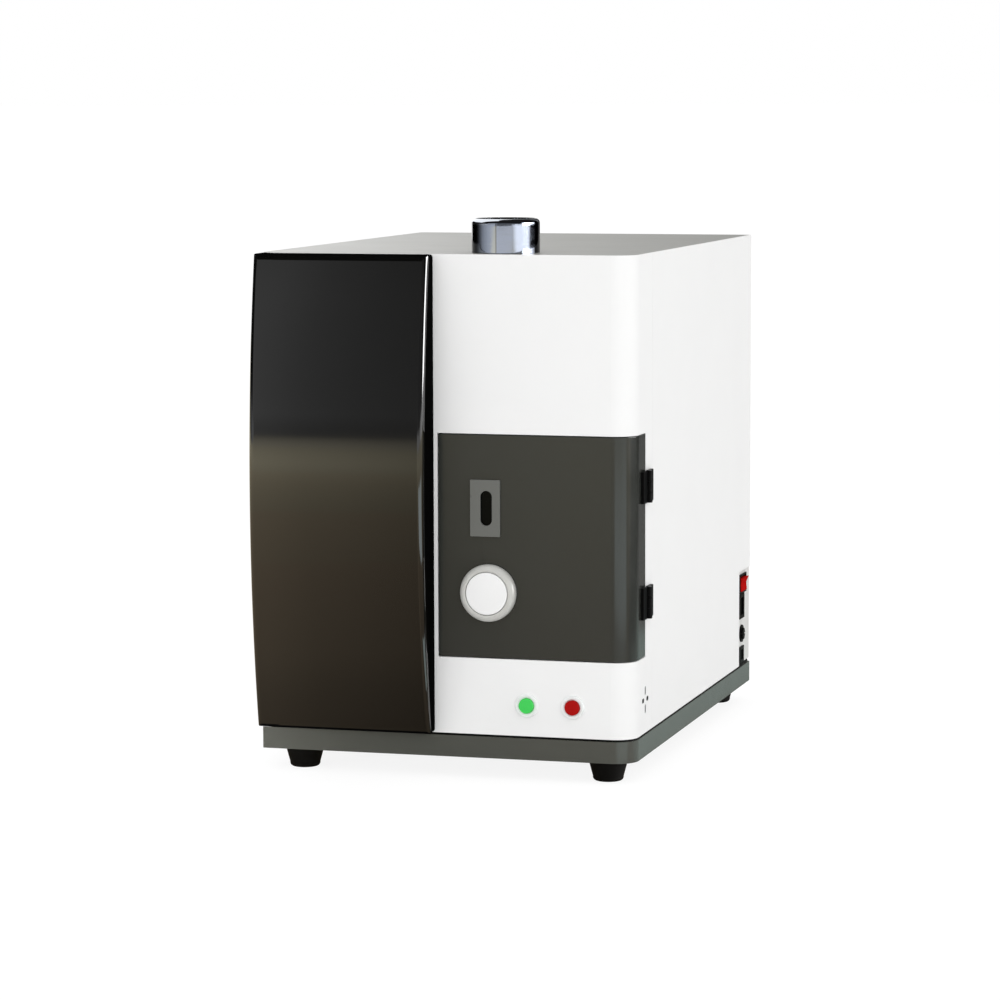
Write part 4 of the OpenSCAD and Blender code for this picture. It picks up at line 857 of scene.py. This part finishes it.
def cards():
    """What the finishes mirror, named for where it stands."""
    # Front: the tall one is seen in the black panel, the low one in the stack
    card("front_card", wall((-30, -28), (30, -28), 0, 9), NEUTRAL, 0.24, "Z", (0, 9),
         [(0.0, 0.7), (0.05, 0.78), (0.12, 1.02), (0.22, 0.97), (0.75, 0.9), (0.9, 0.82), (1.0, 0.78)], FAN)
    card("side_front_card", wall((-3.2, -11.9), (10, -11.9), 0.05, 0.41), NEUTRAL, 0.7)

    # Left and rear: seen in the stack and in the grey top
    card("left_card", wall((LEFT_X, -24), (LEFT_X, REAR_Y), 0, 0.55), (0.93, 0.96, 1.0), 0.62, "Y", (-24, 2),
         [(0.0, 1.0), (0.3, 1.0), (0.58, 0.85), (0.79, 0.52), (0.88, 0.3), (0.94, 0.08), (1.0, 0.0)])
    card("high_card", [(LEFT_X, -2.6, 3.5), (LEFT_X, REAR_Y, 3.5), (-1.6, REAR_Y, 9), (-1.6, -2.6, 9)], NEUTRAL, 1.4)
    card("rear_card", wall((LEFT_X, REAR_Y), (9, REAR_Y), 0, 9), NEUTRAL, 1.0, "X", (LEFT_X, 9),
         [(0.0, 1.5), (0.3, 1.3), (0.36, 0.6), (0.45, 0.06), (0.58, 0.04), (0.62, 0.25), (0.68, 0.25), (0.72, 0.0)])

    # Floor on the right: seen in the base's and the door's rounded corners and in the base's side
    card("rear_rug_card", rug([(0.27, -0.25), (1.3, -0.25), (1.3, 1.0), (0.27, 1.0)]), (0.82, 1.0, 0.94), 0.46)
    card("corner_path_card", rug([(0.276, -0.478), (0.337, -0.822), (0.72, -0.5), (0.391, -0.381)]),
         (0.85, 1.0, 0.97), 1.25)
    card("rear_path_card", rug([(0.5, 1.0), (1.7, 1.0), (1.7, 5), (0.5, 5)]), NEUTRAL, 0.18)
    card("side_path_card", rug([(0.4, -2.02), (0.6, -4.56), (3.4, -3.5), (4.6, -2.4), (1.5, -0.9), (1.1, -1.25)]),
         (0.9, 1.0, 1.0), 1.5)
    card("dark_rug_card", rug([(0.5, -0.5), (42, -0.5), (42, 42), (0.5, 42)], LYING_UNDER), NEUTRAL, 0.02)

    # Right: the bright line on the black panel's edge, and the light side of the stack
    card("window_card", wall((WINDOW_X, -3.9), (WINDOW_X, 9.1), WINDOW_SILL, 3.4), NEUTRAL, 14.0, "Y", (-3.9, 9.1),
         [(0.0, 0.0), (0.12, 1.0), (0.9, 1.0), (1.0, 0.6)])
    card("sill_card", wall((WINDOW_X, -14.7), (WINDOW_X, 3.1), 0.03, WINDOW_SILL), NEUTRAL, 1.45, "Y", (-14.7, 3.1),
         [(0.0, 0.4), (0.07, 0.6), (0.23, 0.82), (0.36, 1.0), (0.88, 1.0), (1.0, 0.22)])

    # Floor all round, painted with its shade near the cabinet: seen in the lower half of the black panel and in the
    # door
    for level, (reach, colour) in enumerate(RUGS):
        turn = [2 * math.pi * i / RUG_SIDES for i in range(RUG_SIDES)]
        disc = [(reach * math.cos(t), reach * math.sin(t)) for t in turn]
        card("rug_card_%d" % level, rug(disc, RUG_LIFT + RUG_STEP * level), colour, RUG_STRENGTH, "R", RUG_SPAN,
             RUG_GLOW, FAN_LOW)


def studio():
    SCENE.view_settings.view_transform = "Standard"
    sky()
    floor()
    cards()
    softbox("top_softbox", place=(1.5, -1.5, 4.0), aim=(0, 0, 0.4), energy=9)
    softbox("side_softbox", place=(4.0, -1.2, 2.0), aim=(0.2, 0, 0.4), energy=22)
    softbox("front_softbox", place=(1.6, -5.5, 1.4), aim=(0.1, -0.3, 0.3), energy=45)
    softbox("low_softbox", place=(-0.45, -0.62, 0.06), aim=(-0.3, -0.34, 0.04), energy=0.13, size=(0.2, 0.05),
            spread=65)


dress_frame()
black_panel()
knob()
sight_slot()
hinges()
buttons()
stack()
feet()
studio()
camera()
